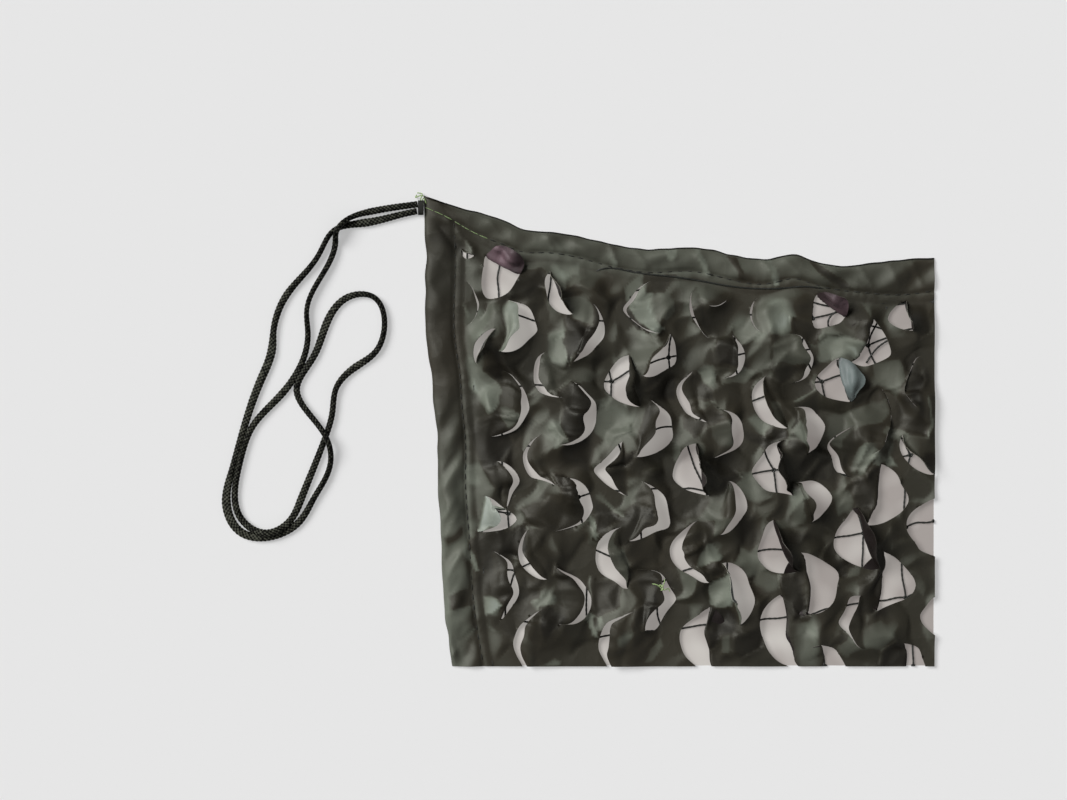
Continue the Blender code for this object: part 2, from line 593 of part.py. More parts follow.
def build_backing():
    """The string mesh as one solid: flat strips that meet in shared corners at each knot."""
    rows = mesh_knots()
    spots, links = {}, []
    for r, row in enumerate(rows):
        for c, knot in enumerate(row):
            spots[(r, c)] = np.array(knot, float)
            if c and r < len(rows) - 1:
                links.append(((r, c - 1), (r, c)))
            if r and c < len(rows[-1]):
                links.append(((r - 1, c), (r, c)))
    paths, around = {}, {spot: [] for spot in spots}
    for number, (start, end) in enumerate(links):
        on_border = start[1] == end[1] == 0 or start[0] == end[0] == 0
        side = 0 if on_border else (1 if number % 2 else -1)
        path = string_path(spots[start], spots[end], side)
        if start[0] == end[0] == 0:
            path = [np.array([p[0], float(top_edge(p[:1])[0]) - BORDER_INSET]) for p in path]
            path[0], path[-1] = spots[start], spots[end]
        if start[1] == end[1] == 0:
            path = [np.array([float(left_edge(p[1:])[0]) + BORDER_INSET, p[1]]) for p in path]
            path[0], path[-1] = spots[start], spots[end]
        paths[(start, end)], paths[(end, start)] = path, path[::-1]
        around[start].append(end)
        around[end].append(start)

    points, faces, corners = [], [], {}

    def add(point):
        points.append(tuple(point))
        return len(points) - 1

    def direction(start, end):
        run = paths[(start, end)][1] - paths[(start, end)][0]
        return run / np.linalg.norm(run)

    half = STRING_WIDE / 2
    for spot, ends in around.items():
        if not ends:
            continue
        ends.sort(key=lambda end: math.atan2(*direction(spot, end)[::-1]))
        if len(ends) == 1:
            run = direction(spot, ends[0])
            left = np.array([-run[1], run[0]])
            corners[(spot, ends[0])] = (add(spots[spot] - left * half), add(spots[spot] + left * half))
            continue
        between = []
        for this, following in zip(ends, ends[1:] + ends[:1]):
            one, two = direction(spot, this), direction(spot, following)
            turn = (math.atan2(two[1], two[0]) - math.atan2(one[1], one[0])) % (2 * math.pi)
            turn = turn or 2 * math.pi
            lean = math.atan2(one[1], one[0]) + turn / 2
            reach = KNOT_SPREAD * half / max(math.sin(turn / 2), 0.5)
            between.append(add(spots[spot] + reach * np.array([math.cos(lean), math.sin(lean)])))
        for number, end in enumerate(ends):
            corners[(spot, end)] = (between[number - 1], between[number])
        for number in range(1, len(between) - 1):
            faces.append((between[0], between[number], between[number + 1]))
    for start, end in links:
        path = paths[(start, end)]
        right, left = corners[(start, end)]
        for step in range(1, STRING_PARTS):
            run = path[step + 1] - path[step - 1]
            side = np.array([-run[1], run[0]]) / np.linalg.norm(run) * half
            new_right, new_left = add(path[step] - side), add(path[step] + side)
            faces += [(right, new_right, new_left), (right, new_left, left)]
            right, left = new_right, new_left
        end_left, end_right = corners[(end, start)]
        faces += [(right, end_right, end_left), (right, end_left, left)]
    count = len(points)
    points = [(min(x, HALF_WIDTH), max(y, -HALF_HEIGHT)) for x, y in points]
    solid = [(x, y, STRING_TALL) for x, y in points] + [(x, y, 0.0) for x, y in points]
    closed = list(faces) + [(a + count, c + count, b + count) for a, b, c in faces]
    sides = {(a, b) for face in faces for a, b in zip(face, face[1:] + face[:1])}
    for a, b in sorted(sides):
        if (b, a) not in sides:
            closed += [(b, a, a + count), (b, a + count, b + count)]
    return mesh_object("backing_net", solid, closed)


def cord_middle_line():
    """Places along the cord, read from one smooth curve through the route's points."""
    route = np.array(CORD_ROUTE, float)
    steps = np.linalg.norm(np.diff(route[:, :2], axis=0), axis=1)
    run = np.concatenate([[0], np.cumsum(steps)])
    at = np.linspace(0, run[-1], CORD_POINTS)
    x, y = spline(run, route[:, 0], at), spline(run, route[:, 1], at)
    over = np.interp(at, run, route[:, 2])
    z = CORD_DIAMETER / 2 + CORD_CLEAR + HUMP * (3 * over ** 2 - 2 * over ** 3)
    return np.stack([x, y, z], axis=1)


def build_cord():
    """The braided cord as a round tube with filled ends."""
    shape = bpy.data.curves.new("tie_cord", "CURVE")
    shape.dimensions = "3D"
    shape.bevel_depth = CORD_DIAMETER / 2 * MM
    shape.bevel_resolution = CORD_SIDES_RESOLUTION
    shape.use_fill_caps = True
    line = shape.splines.new("POLY")
    places = cord_middle_line()
    line.points.add(len(places) - 1)
    for point, place in zip(line.points, places):
        point.co = (*(MM * place), 1.0)
    shape.materials.append(material("tie_cord"))
    piece = bpy.data.objects.new("tie_cord", shape)
    bpy.context.scene.collection.objects.link(piece)
    return piece


def build_whipping():
    """A flattened round of wound thread, face to face with both legs of the cord."""
    middle = np.array([CORD_ROUTE[0][0] + WHIP_START, (CORD_ROUTE[0][1] + CORD_ROUTE[-1][1]) / 2])
    ring = []
    for step in range(WHIP_SIDES):
        turn = 2 * math.pi * step / WHIP_SIDES
        wide = math.copysign(abs(math.cos(turn)) ** WHIP_SQUARE, math.cos(turn)) * WHIP_WIDE / 2
        tall = math.copysign(abs(math.sin(turn)) ** WHIP_SQUARE, math.sin(turn)) * WHIP_TALL / 2
        ring.append((wide, WHIP_TALL / 2 + tall))
    points = [(middle[0], middle[1] + wide, tall) for wide, tall in ring]
    points += [(middle[0] + WHIP_LENGTH, middle[1] + wide, tall) for wide, tall in ring]
    near, far = list(range(WHIP_SIDES)), list(range(WHIP_SIDES, 2 * WHIP_SIDES))
    faces = [tuple(near[::-1]), tuple(far)]
    faces += [(near[i - 1], near[i], far[i], far[i - 1]) for i in range(WHIP_SIDES)]
    return mesh_object("cord_whipping", points, faces)


def main():
    clear_scene()
    build_cloth()
    build_backing()
    build_cord()
    build_whipping()


main()
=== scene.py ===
"""Camouflage net corner, dressed: the garnish cloth with its sewn hems and curled leaves, the
knotted twine under it, its stitching and ties, and the braided tie cord with its whipping.

The frame is the solids' own: +X along the top hem, +Y towards it, +Z up. The tables are in
millimetres, and a mesh is turned into metres where it is made.
"""

import math
from collections import namedtuple

import bpy
import numpy as np
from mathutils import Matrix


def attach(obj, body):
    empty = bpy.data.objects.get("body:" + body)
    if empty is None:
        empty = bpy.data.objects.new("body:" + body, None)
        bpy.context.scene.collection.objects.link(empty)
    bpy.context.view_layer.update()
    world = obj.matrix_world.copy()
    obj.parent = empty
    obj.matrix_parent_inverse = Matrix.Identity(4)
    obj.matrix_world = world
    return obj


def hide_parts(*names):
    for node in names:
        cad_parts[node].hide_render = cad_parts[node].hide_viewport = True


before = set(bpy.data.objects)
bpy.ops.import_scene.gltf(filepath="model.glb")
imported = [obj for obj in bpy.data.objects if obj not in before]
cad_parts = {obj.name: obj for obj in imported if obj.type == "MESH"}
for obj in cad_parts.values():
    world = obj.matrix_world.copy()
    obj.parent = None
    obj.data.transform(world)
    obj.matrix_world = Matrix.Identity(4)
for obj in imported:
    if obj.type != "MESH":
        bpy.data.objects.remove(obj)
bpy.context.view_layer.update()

MM = 0.001
TINY = 1e-6                 # keeps a division away from nothing
SETTLE_TURNS = 12           # rounds in which a place set by both bent edges is found

# ---- the sheet's outline, as in the solids ---------------------------------------------------
HALF_WIDTH, HALF_HEIGHT = 170.0, 156.7
# the left hem's fold from the cut bottom edge up to the corner: (y, x)
LEFT_EDGE = [(-156.7, -151.3), (-133, -154.7), (-106, -157.3), (-69, -158.7), (-36, -160.7),
             (-6, -160.9), (17, -163.3), (41, -165.3), (57, -168), (87, -169.2), (124, -168.8),
             (141, -169.7), (156.7, -170)]
# the top hem's fold from the corner to the cut right edge: (x, y)
TOP_EDGE = [(-170, 156.7), (-153, 150.7), (-128, 144), (-115, 139.3), (-106, 135), (-89, 132.7),
            (-66, 129.3), (-19, 120.9), (11, 122), (37, 116.9), (64, 115.3), (77, 117.2),
            (87, 114), (111, 110), (141, 113.3), (170, 115.3)]
# how far inside its fold each hem is stitched: (y, inset) and (x, inset)
LEFT_SEAM = [(-156.7, 21.0), (-60, 18.6), (40, 18.8), (100, 19.5), (156.7, 19.5)]
TOP_SEAM = [(-170, 7.5), (-154, 9), (-137, 14), (-120, 16), (-92, 14), (-50, 14.8), (0, 15.6),
            (50, 16.8), (117, 17.5), (145, 23), (170, 22)]

# ---- leaves ----------------------------------------------------------------------------------
# One row for each C-shaped cut. x, y: the middle of the leaf's root. facing: the way the leaf
# points, in degrees from +X. half: half the root. depth: root to tip, laid flat. gape: the
# opening left beside the risen tip. skew: how much wider that opening is towards the root's
# left end than at its middle, seen along the leaf, as a share. fall: how far the leaf, once
# risen, comes down again towards its tip: 0 stays up, 1 ends level, more hangs down. A gape
# more than the depth is a leaf folded sharply back: over the sheet, or under it where fall is
# below zero. tone: painted light and shade on the leaf, from -1, dark brown painted shade, to
# 1, pale grey green painted sheen, and past 1 a nearly silver painted highlight.
Leaf = namedtuple("Leaf", "name x y facing half depth gape skew fall tone")
LEAVES = [Leaf(*row) for row in [
    # name      x     y  facing  half  depth  gape  skew  fall  tone
    ("R0a", -143,   85,     0,   15,    9,  0.8,  0.0,  1.6,  0.0),
    ("R1a", -117,   71,    -8,   18,   23, 13.0, -0.3,  0.9,  1.15),
    ("R1b", -122,   18,   -10,   22,   23,  4.5, -0.2,  1.4, -0.2),
    ("R0c", -132.5,  -55,   -12,   12,   24, 10.0,  0.0,  0.6,  1.5),
    ("R1c", -119,  -36,    12,   16,   12,  4.5,  0.3,  1.3,  0.0),
    ("R1d", -122, -103,     7,   23,   15,  4.2, -0.4,  1.5, -0.3),
    ("R2a",  -65,   66,   -16,   19,   16,  6.5, -0.5,  1.4, -0.7),
    ("R2b",  -77,   11,   -13,   22,   24,  6.3, -0.2,  2.0, -0.7),
    ("R2c",  -80,  -48,    -6,   19,   23,  6.5,  0.5,  1.8, -0.5),
    ("R2d",  -82, -111,     0,   20,   23,  5.5, -0.3,  1.7, -0.2),
    ("R3a",  -15,   52,   -35,   17,   13, 12.0,  0.0,  0.0,  0.0),
    ("R3b",  -25,    2,   -15,   19,   22, 13.0, -0.3,  0.3, -0.6),
    ("R3c",  -29,  -53,   -13,   20,   23, 10.0, -0.2,  1.1,  0.0),
    ("R3d",  -27, -112,     2,   21,   25,  9.0, -1.1,  1.2, -0.6),
    ("R4a",   33,   50,    -8,   15,   11,  4.5,  0.0,  1.1, -0.8),
    ("R4b",   23,    0,    -3,   17,   22,  7.0,  0.0,  1.9,  0.1),
    ("R4c",   28,  -51,    -6,   18,   17,  7.5, -0.1,  1.2,  0.0),
    ("R4d",   34, -108,    16,   21,   16, 13.0,  0.1,  0.0,  0.8),
    ("R5a",   72,   49,     5,   17,   18,  3.5, -0.3,  2.1,  0.2),
    ("R5b",   80,    0,    11,   16,   18, 12.0,  0.0,  0.4,  0.1),
    ("R5c", 82.5,  -47,    13, 14.5,   18, 12.5,  0.3,  0.7, -0.3),
    ("R5d",   83, -102,     8,   21,   25, 46.0,  0.0, -1.0, -0.6),
    ("R6a",  122,   59,   -28,   16,   20, 38.0,  0.0, -1.0, -0.3),
    ("R6b",  130,    7,    -8,   22, 10.5,  0.4,  0.0,  1.7, -0.2),
    ("R6c",  129,  -43,   -14,   20,   24, 44.0,  0.0, -1.0, -0.6),
    ("R6d",  134, -100,    -7,   19,   22, 40.0,  0.0, -1.0, -0.6),
    ("R5e",   94, -158,     0,   17,   17, 32.0,  0.0, -1.0, -0.6),
    ("R6e",  150, -158,     0,   18,   14, 26.0,  0.0, -1.0, -1.0),
    ("L0a", -129,   56,   150,   13,    7,  6.0,  0.0,  0.2,  0.0),
    ("L0b",-140.5,119.5,  -115,    5,    5,  4.2,  0.3,  0.0,  0.0),
    ("L1a", -117, 110.5,  -119, 13.5, 23.5, 38.5,  0.0,  0.0,  0.1),
    ("L1b",  -82,   38,  -164,   16,   16,  4.5,  0.2,  1.8,  0.1),
    ("L1c",  -87,  -19,  -165,   18,   16,  4.5,  0.4,  1.7, -0.1),
    ("L1d",  -94,  -82,  -156,   17,   13,  5.0,  0.2,  1.3, -0.1),
    ("L1e",  -92, -142,   178,   23,   19,  5.0,  0.0,  1.8,  0.0),
    ("L2a",  -78,   92,  -153,   16,   11,  9.0,  0.1,  0.4,  0.0),
    ("L2f",  -15,   83,  -168,   17,   22,  2.4, -0.8,  2.1,  0.9),
    ("L2b",  -29,   33,  -169,   18,   21, 14.0, -0.7,  1.0, -0.3),
    ("L2c",  -35,  -25,  -172,   17,   20,  8.5, -0.5,  1.1, -0.5),
    ("L2d",  -34,  -83,  -171,   21,   23, 10.5,  0.2,  1.1,  0.2),
    ("L2e",  -34, -142,   174,   22,   20,  5.5,  0.0,  1.8, -0.1),
    ("L3a",   17,   79,  -161,   17, 10.5,  1.2,  0.0,  1.8,  0.0),
    ("L3g",   25,   85,   -70,    7,    2,  0.8,  0.0,  0.5,  0.0),
    ("L3b",   14,   23,  -163,   18,   15,  5.0, -0.1,  1.3,  0.0),
    ("L3c",   16,  -25,  -168,   18,   21, 17.0,  0.0,  0.2, -0.9),
    ("L3d",   17,  -80,  -166,   21,   22,  9.0,  0.2,  1.2, -0.1),
    ("L3e", 20.5, -139,  -175,   21, 20.5,   37,  0.0, -1.0, -1.0),
    ("L4a",   53,   78,   180, 11.3,  6.5,  1.0,  0.0,  2.2,  0.0),
    ("L4b",   64,   20,  -157,   19,   15,  8.5, -0.2,  0.3,  0.0),
    ("L4c",   72,  -25,  -175,   19,   23, 15.5, 0.35,  0.3, -0.9),
    ("L4d",   71,  -77,  -154,   18,   21, 18.5,  0.0,  0.0, -1.0),
    ("L4e",   74, -133,  -168,   24,   21, 39.0,  0.0, -1.0, -0.9),
    ("L5a", 101.5,   84,  -125,   12,   19, 27.0,  0.0,  0.0, -0.5),
    ("L5b",  110,   34,  -170,   14,   21,   40,  0.0,  0.0,  0.9),
    ("L5c",  116,  -14,   175,   17,   17,  2.2,  4.5,  1.4, -0.2),
    ("L5d",  126,  -71,  -162,   21,   24, 22.5,  0.0,  0.0, -1.0),
    ("L5e",  124, -126,  -178,   18,   18,  6.2, -0.9,  0.9, -0.5),
    ("L6a",  153,   77,  -170,   10,   13, 12.0,  0.0,  0.0,  0.0),
    ("L6b",  160,   31,   172, 16.4,  9.3,  0.4,  0.0,  1.7,  0.0),
    ("L6c",  160,  -16,  -140,   16,    9,  6.0,  0.0,  0.2,  0.0),
    ("L6d",  172,  -64,  -174,   19,   21, 20.5,  0.0,  0.0,  0.0),
    ("L6e",  174, -123,   180,   14,   13, 12.5,  0.0,  0.0,  0.0),
]]
CUT_POWER = 1.65            # a cut's curve: 2 would be half an ellipse, less has sharper ends
CUT_END = 0.8               # a cut is left closed this near its ends
CUT_TIP = 0.01              # least length of a line from root to cut, as a power of its share
FOLDED_FROM = 1.1           # with a gape of more depths than this a leaf is folded back
RISE_BY, FALL_FROM = 0.45, 0.20     # shares of a leaf over which it rises, and then comes down
TURN_BY = 0.30              # share of a folded leaf within which it turns right over
FLAP_WAVE, FLAP_LEAN = 0.9, 1.6     # slope of the wave along a leaf folded over, and its slant
FLAP_IN = 0.25              # that wave comes in over this share of it
PULL_NARROW, PULL_WIDE = 0.92, 0.4  # share of an opening that is the cloth pulled apart
PULL_FROM, PULL_OVER = 0.45, 0.3    # that share changes over these shares of gape to depth
LEAST_GONE, MOST_GONE = 0.02, 1.95  # how far a tip may come back, in depths
STEEPEST, SLOPES_TRIED = 3.1, 80
LEAF_STEPS = 24             # parts along a leaf, each with its own slope
LEAF_SEED = (5000, 7, 3)    # its random draw: a start, and so much for each mm of x and of y
RIPPLE = 0.06               # how unevenly a leaf opens along its root
LEAST_CLEAR = 1.9           # a leaf's tip stops this far above the surface

# ---- the sheet's height ----------------------------------------------------------------------
CLOTH_LEVEL, CUT_EDGE_LEVEL, CUT_EDGE_REACH = 6.2, 3.0, 22.0
CUT_EDGE_SHARE = 0.3        # of the random relief is left at the cut edges
LOWEST = 2.5
RISE_LENGTH = 15.0          # from the hem's inner edge up to the cloth's level
ROOT_LIFT, ROOT_REACH = 4.6, 10.0
CREST_LIFT, CREST_REACH = 4.0, 4.5   # the sheet runs up steeply into a leaf that stands
CREST_FROM, CREST_OVER = 0.4, 0.4   # that rise comes over these shares of gape to depth
RIM_DIP, RIM_REACH = 2.8, 8.0   # the sheet sinks beyond each cut
RIM_BEYOND = 2              # and is lowest this far beyond it
TUCK_DIP = 1.6              # the sheet comes down to a leaf that is folded under
SLOPE_STEP = 1.5
# ridges, and troughs below zero, from one point to another
FOLDS = [
    # x0    y0    x1    y1  width height
    (58,    82,   62,   66,  11,   5.0),
    (20,    84,   34,   88,   9,   2.6),
    (60,    60,   80,   42,  10,   3.0),
    (-134,  31, -121,   12,   8,   2.6),
    (-84,    4,  -76,  -10,   8,   2.8),
    (-50,   20,  -28,  -12,   9,   2.2),
    (-66,  -56,  -54,  -70,   7,   2.6),
    (-60, -122,  -54, -134,   7,   2.4),
    (126,   82,  124,   60,   7,   3.4),
    (117,  -26,  128,   -3,   3.5, 2.0),
    (122,  -27,  137,   -5,   3.5, 2.2),
    (126,  -31,  144,  -14,   4,   2.0),
    (166,   20,  166,   -4,   6,   2.6),
    (150,   40,  158,   14,   9,   3.0),
    (14,   -68,   28,  -92,   8,   2.4),
    (-8,    80,  -16,   62,  10,   3.6),
    (-104,  90,  -96,   70,   9,   2.2),
    (-136, 128, -148,  110,   7,  -2.0),
    (100,  -66,  112,  -88,   8,   2.0),
    (48,   -96,   40, -118,   8,   2.2),
    (-104, -60, -108,  -84,   8,   2.0),
    (-134, -100, -136, -130,  8,   2.0),
]
# creases across the hems, from one point to another
HEM_FOLDS = [
    # x0    y0    x1    y1  width height
    (-157,  -73, -146,  -52, 3.5,  1.2),
    (-156,  -93, -141,  -77, 4.0,  1.3),
    (-157, -112, -149,  -96, 3.5,  1.0),
    (-146, -138, -135, -126, 4.0,  1.2),
    (-150, -150, -147, -128, 4.0,  0.8),
    (-158,  -40, -147,  -22, 4.0,  1.0),
    (-161,    5, -152,   22, 4.0,  0.7),
    (-165,   60, -155,   40, 4.0,  0.6),
    (-166,  100, -158,   80, 4.0,  0.5),
    (-11,   121,   -3,  115, 2.2,  1.3),
    (12,    117,   20,  105, 2.2,  1.5),
    (-46,   125,  -42,  112, 2.5,  1.2),
    (55,    115,   64,  101, 2.5,  1.3),
    (85,    114,  111,   96, 4.0, -1.2),
    (98,    110,  122,   96, 5.0,  1.4),
    (-86,   131,  -78,  120, 3.0,  0.9),
    (-126,  140, -118,  128, 3.5,  0.8),
    (-70,   126,  -58,  116, 4.0,  0.8),
    (140,   110,  146,   96, 4.0,  0.9),
    (-159,  136, -147,  121, 2.5, -1.4),
    (-154,  140, -141,  125, 2.5,  1.2),
    (-163,  143, -150,  139, 2.5,  0.8),
    (-168,  120, -158,  112, 3.5, -0.8),
    (-158,  -62, -150,  -46, 2.5,  0.9),
    (-157, -104, -147,  -84, 2.5,  1.1),
    (-155, -124, -146, -112, 2.5,  1.0),
    (-152, -150, -140, -138, 2.5,  1.0),
    (-160,  -28, -151,  -14, 2.5,  0.8),
    (-90,   133,  -84,  121, 2.0,  1.0),
    (-30,   121,  -22,  110, 2.5,  0.9),
    (34,    117,   42,  103, 2.5,  1.0),
    (70,    115,   80,  104, 3.0,  0.9),
    (120,   110,  128,   97, 3.0,  0.9),
    (155,   113,  161,   99, 3.0,  0.9),
]
# where the cloth is tied down to the twine
TIES = [(-45, 97), (42, 88), (-137, 29), (-130, -93), (-85, 69), (134, 39), (-117, -11)]
TIE_REACH = 9.0
# random soft waves of the open cloth: (length, height, seed)
OPEN_WAVES = [(44, 1.6, 11), (26, 0.5, 12)]
# random sharp creases, where waves like those change sign
CREASE_WAVES = [(38, 1.1, 14), (22, 0.5, 15)]
CREASE_ROUND = 0.06
FOLD_ROUND = 0.9            # a fold's ridge is rounded within this
FOLD_FALL, HEM_FOLD_FALL = 1.4, 1.3     # how fast a fold falls away, in its widths
WAVE_COUNT = 28
WAVE_SPREAD = (0.75, 1.6)   # their lengths, as shares of the one given
# how far the sheet's pattern is pulled about in its own plane: (length, shift, seed)
PLAN_WAVES = (24, 0.85, 51)
EDGE_WAVES = (16, 0.2, 53)
EDGE_REACH, STILL_REACH = 4, 12     # inwards from the folds, and from the cut edges

# ---- hems ------------------------------------------------------------------------------------
FOLD_LEVEL, HEM_TOP = 0.9, 2.0
HEM_ROLL = 4.5              # the fold rounds over within this
HEM_PUFF, HEM_FULL = 1.5, 0.9
# slanting creases of the hem: (length, share, seed, stretch, lean in degrees)
HEM_CREASES = [(20, 1.0, 21, 2.4, 40), (34, 0.4, 22, 1.5, -60)]
CREASED_TOP = 0.5           # how strong they are on the top hem
CREASED_HIGH, CREASED_LOW = 0.2, 1.0    # and on the left one, high up and low down
CREASED_FROM, CREASED_OVER = 30, 90     # the y below which they grow stronger, and over what
HEM_BEYOND = 5.0            # the turned layer runs on past its seam, to its raw edge
SEAM_SINK, SEAM_HALF = 0.9, 1.1
PUCKER_LENGTH, PUCKER_HEIGHT, PUCKER_REACH = 9.0, 0.1, 5.0
PUCKER_DRIFT = (40, 2.5, 23)    # waves that shift the puckers: length, radians, seed
RAW_STEP = 0.4
RAW_WAVES = (30, 0.7, 31)   # how unevenly the raw edge is cut: length, shift, seed
MITRE_ROOM = 3.0            # a hem is turned where it has more room than this
TURN_ROWS, TURN_CROWD = 10, 1.3     # rows of the turned layer, closer together at the fold
TURN_LEVEL, TURN_START = 0.25, 0.4

SHEET_THICK = 0.35
TONE_EDGE = 4.0             # a leaf's tone sets in over this length from its root
# patches of painted highlight, pale above zero, and of painted shade, dark below zero, in
# the same tones as the leaves' own: long and short reach about a middle, the long one's bearing
# in degrees, and the tone
PAINTED_LIGHT_PATCHES = [
    # x     y    long short bearing tone
    (-131,   29,  20,  4.5, -58,  1.2),
    (-135,   71,  10,  7,   -60,  0.6),
    (-79,    56,  11,  5.5,  80,  0.8),
    (-66,    60,   7, 11,   -20, -1.0),
    (-81,    -3,   8,  7,     0,  0.8),
    (-45,     7,  17, 11,   -40,  0.6),
    (-57,   -62,   9,  2.5, -65,  0.9),
    (-58,  -126,   9,  2.5, -60,  0.9),
    (21,    -82,  11,  8,    60,  0.5),
    (43,    -35,  10,  8,     0,  0.6),
    (49,    -87,  10,  8,     0,  0.6),
    (129,  -137,  17,  9,    10,  0.55),
    (129,   -13,  14,  9,    60,  0.8),
    (66,     77,  10,  9,    60,  0.85),
    (107,    54,  20,  7,   -25,  0.8),
    (18,     37,   8,  6,    70,  0.6),
    (-75,   106,   8,  4,   -10,  0.8),
    (77,     26,   7,  6,     0,  0.5),
    (77,    -42,   8,  6,     0,  0.7),
    (-89,  -113,   8,  6,     0,  0.6),
    (-37,  -137,   7,  5,     0,  0.45),
    (31,   -141,   9,  6,     0,  0.6),
    (86,   -139,  14,  7,    80,  0.6),
    (45,     67,  11,  7,   -30,  0.5),
    (142,    34,  14, 10,   -50,  0.4),
    (167,     9,  12,  1.6,  90,  0.9),
    (-124, -115,   7,  5,     0,  0.9),
    (-137,  -28,   8,  5,   -60,  0.6),
    (-137,  -83,  12,  3,   -70,  0.7),
    (-151,  -90,  78, 14,    88,  0.55),
    (10,    112, 130, 12,    -3,  0.32),
    (-110,  133,  40, 10,   -20,  0.2),
    (-126,   -7,  22, 11,   -75, -1.0),
    (-117,   38,  12, 11,     0, -0.9),
    (-108,   94,  16,  8,   -20, -0.6),
    (-11,    31,   9,  9,     0, -1.0),
    (-20,    75,   4, 14,   -20,  0.7),
    (22,    -30,   9,  9,     0, -0.8),
    (79,    -72,  10,  6,     0, -0.9),
    (28,   -127,   6, 12,     0, -0.9),
    (166,   -18,   5,  7,     0, -1.0),
    (-93,  -130,  12,  9,   -30, -0.8),
    (-70,   -10,  10, 16,     0, -0.7),
    (-38,   -66,   9, 12,   -20, -0.8),
    (-2,    -52,   9, 16,     0, -0.6),
    (47,    -66,   9, 14,     0, -0.6),
    (31,     49,   8, 16,     0, -0.7),
    (-38,   -21,  12,  6,    20, -0.7),
    (33,    -23,  12, 12,     0, -0.6),
    (97,    -21,  12, 14,     0, -0.7),
    (78,    -24,   8, 14,     0, -0.6),
    (126,   -43,   7, 22,     0, -0.8),
    (133,  -106,   9, 30,     0, -0.9),
    (77,   -109,   9, 24,    10, -0.9),
    (26,   -131,  10, 22,   -10, -0.9),
    (46,   -139,  12, 16,     0, -0.6),
    (-127,  -84,  12, 26,    -5, -0.8),
    (-101, -106,   8, 22,   -10, -0.6),
    (-83,  -123,  12,  8,     0, -0.8),
    (105,   -86,  10, 16,   -20, -0.5),
    (141,  -148,  10, 12,     0, -0.9),
    (157,    33,   8, 22,   -10, -0.9),
    (153,    16,  12, 16,     0, -0.4),
    (119,    73,   4, 16,    15, -0.8),
    (71,     34,  14,  8,    10, -0.5),
    (-29,   -55,   8,  5,     0, -0.6),
    (-155,  127,  12,  6,   -40, -0.5),
    (-158,   90,  60, 12,    90, -0.35),
]
# how far the outlines of patches and facets wander: (length, shift, seed)
PATCH_WANDER = (17, 1.8, 61)    # how their outlines wander: length, shift, seed
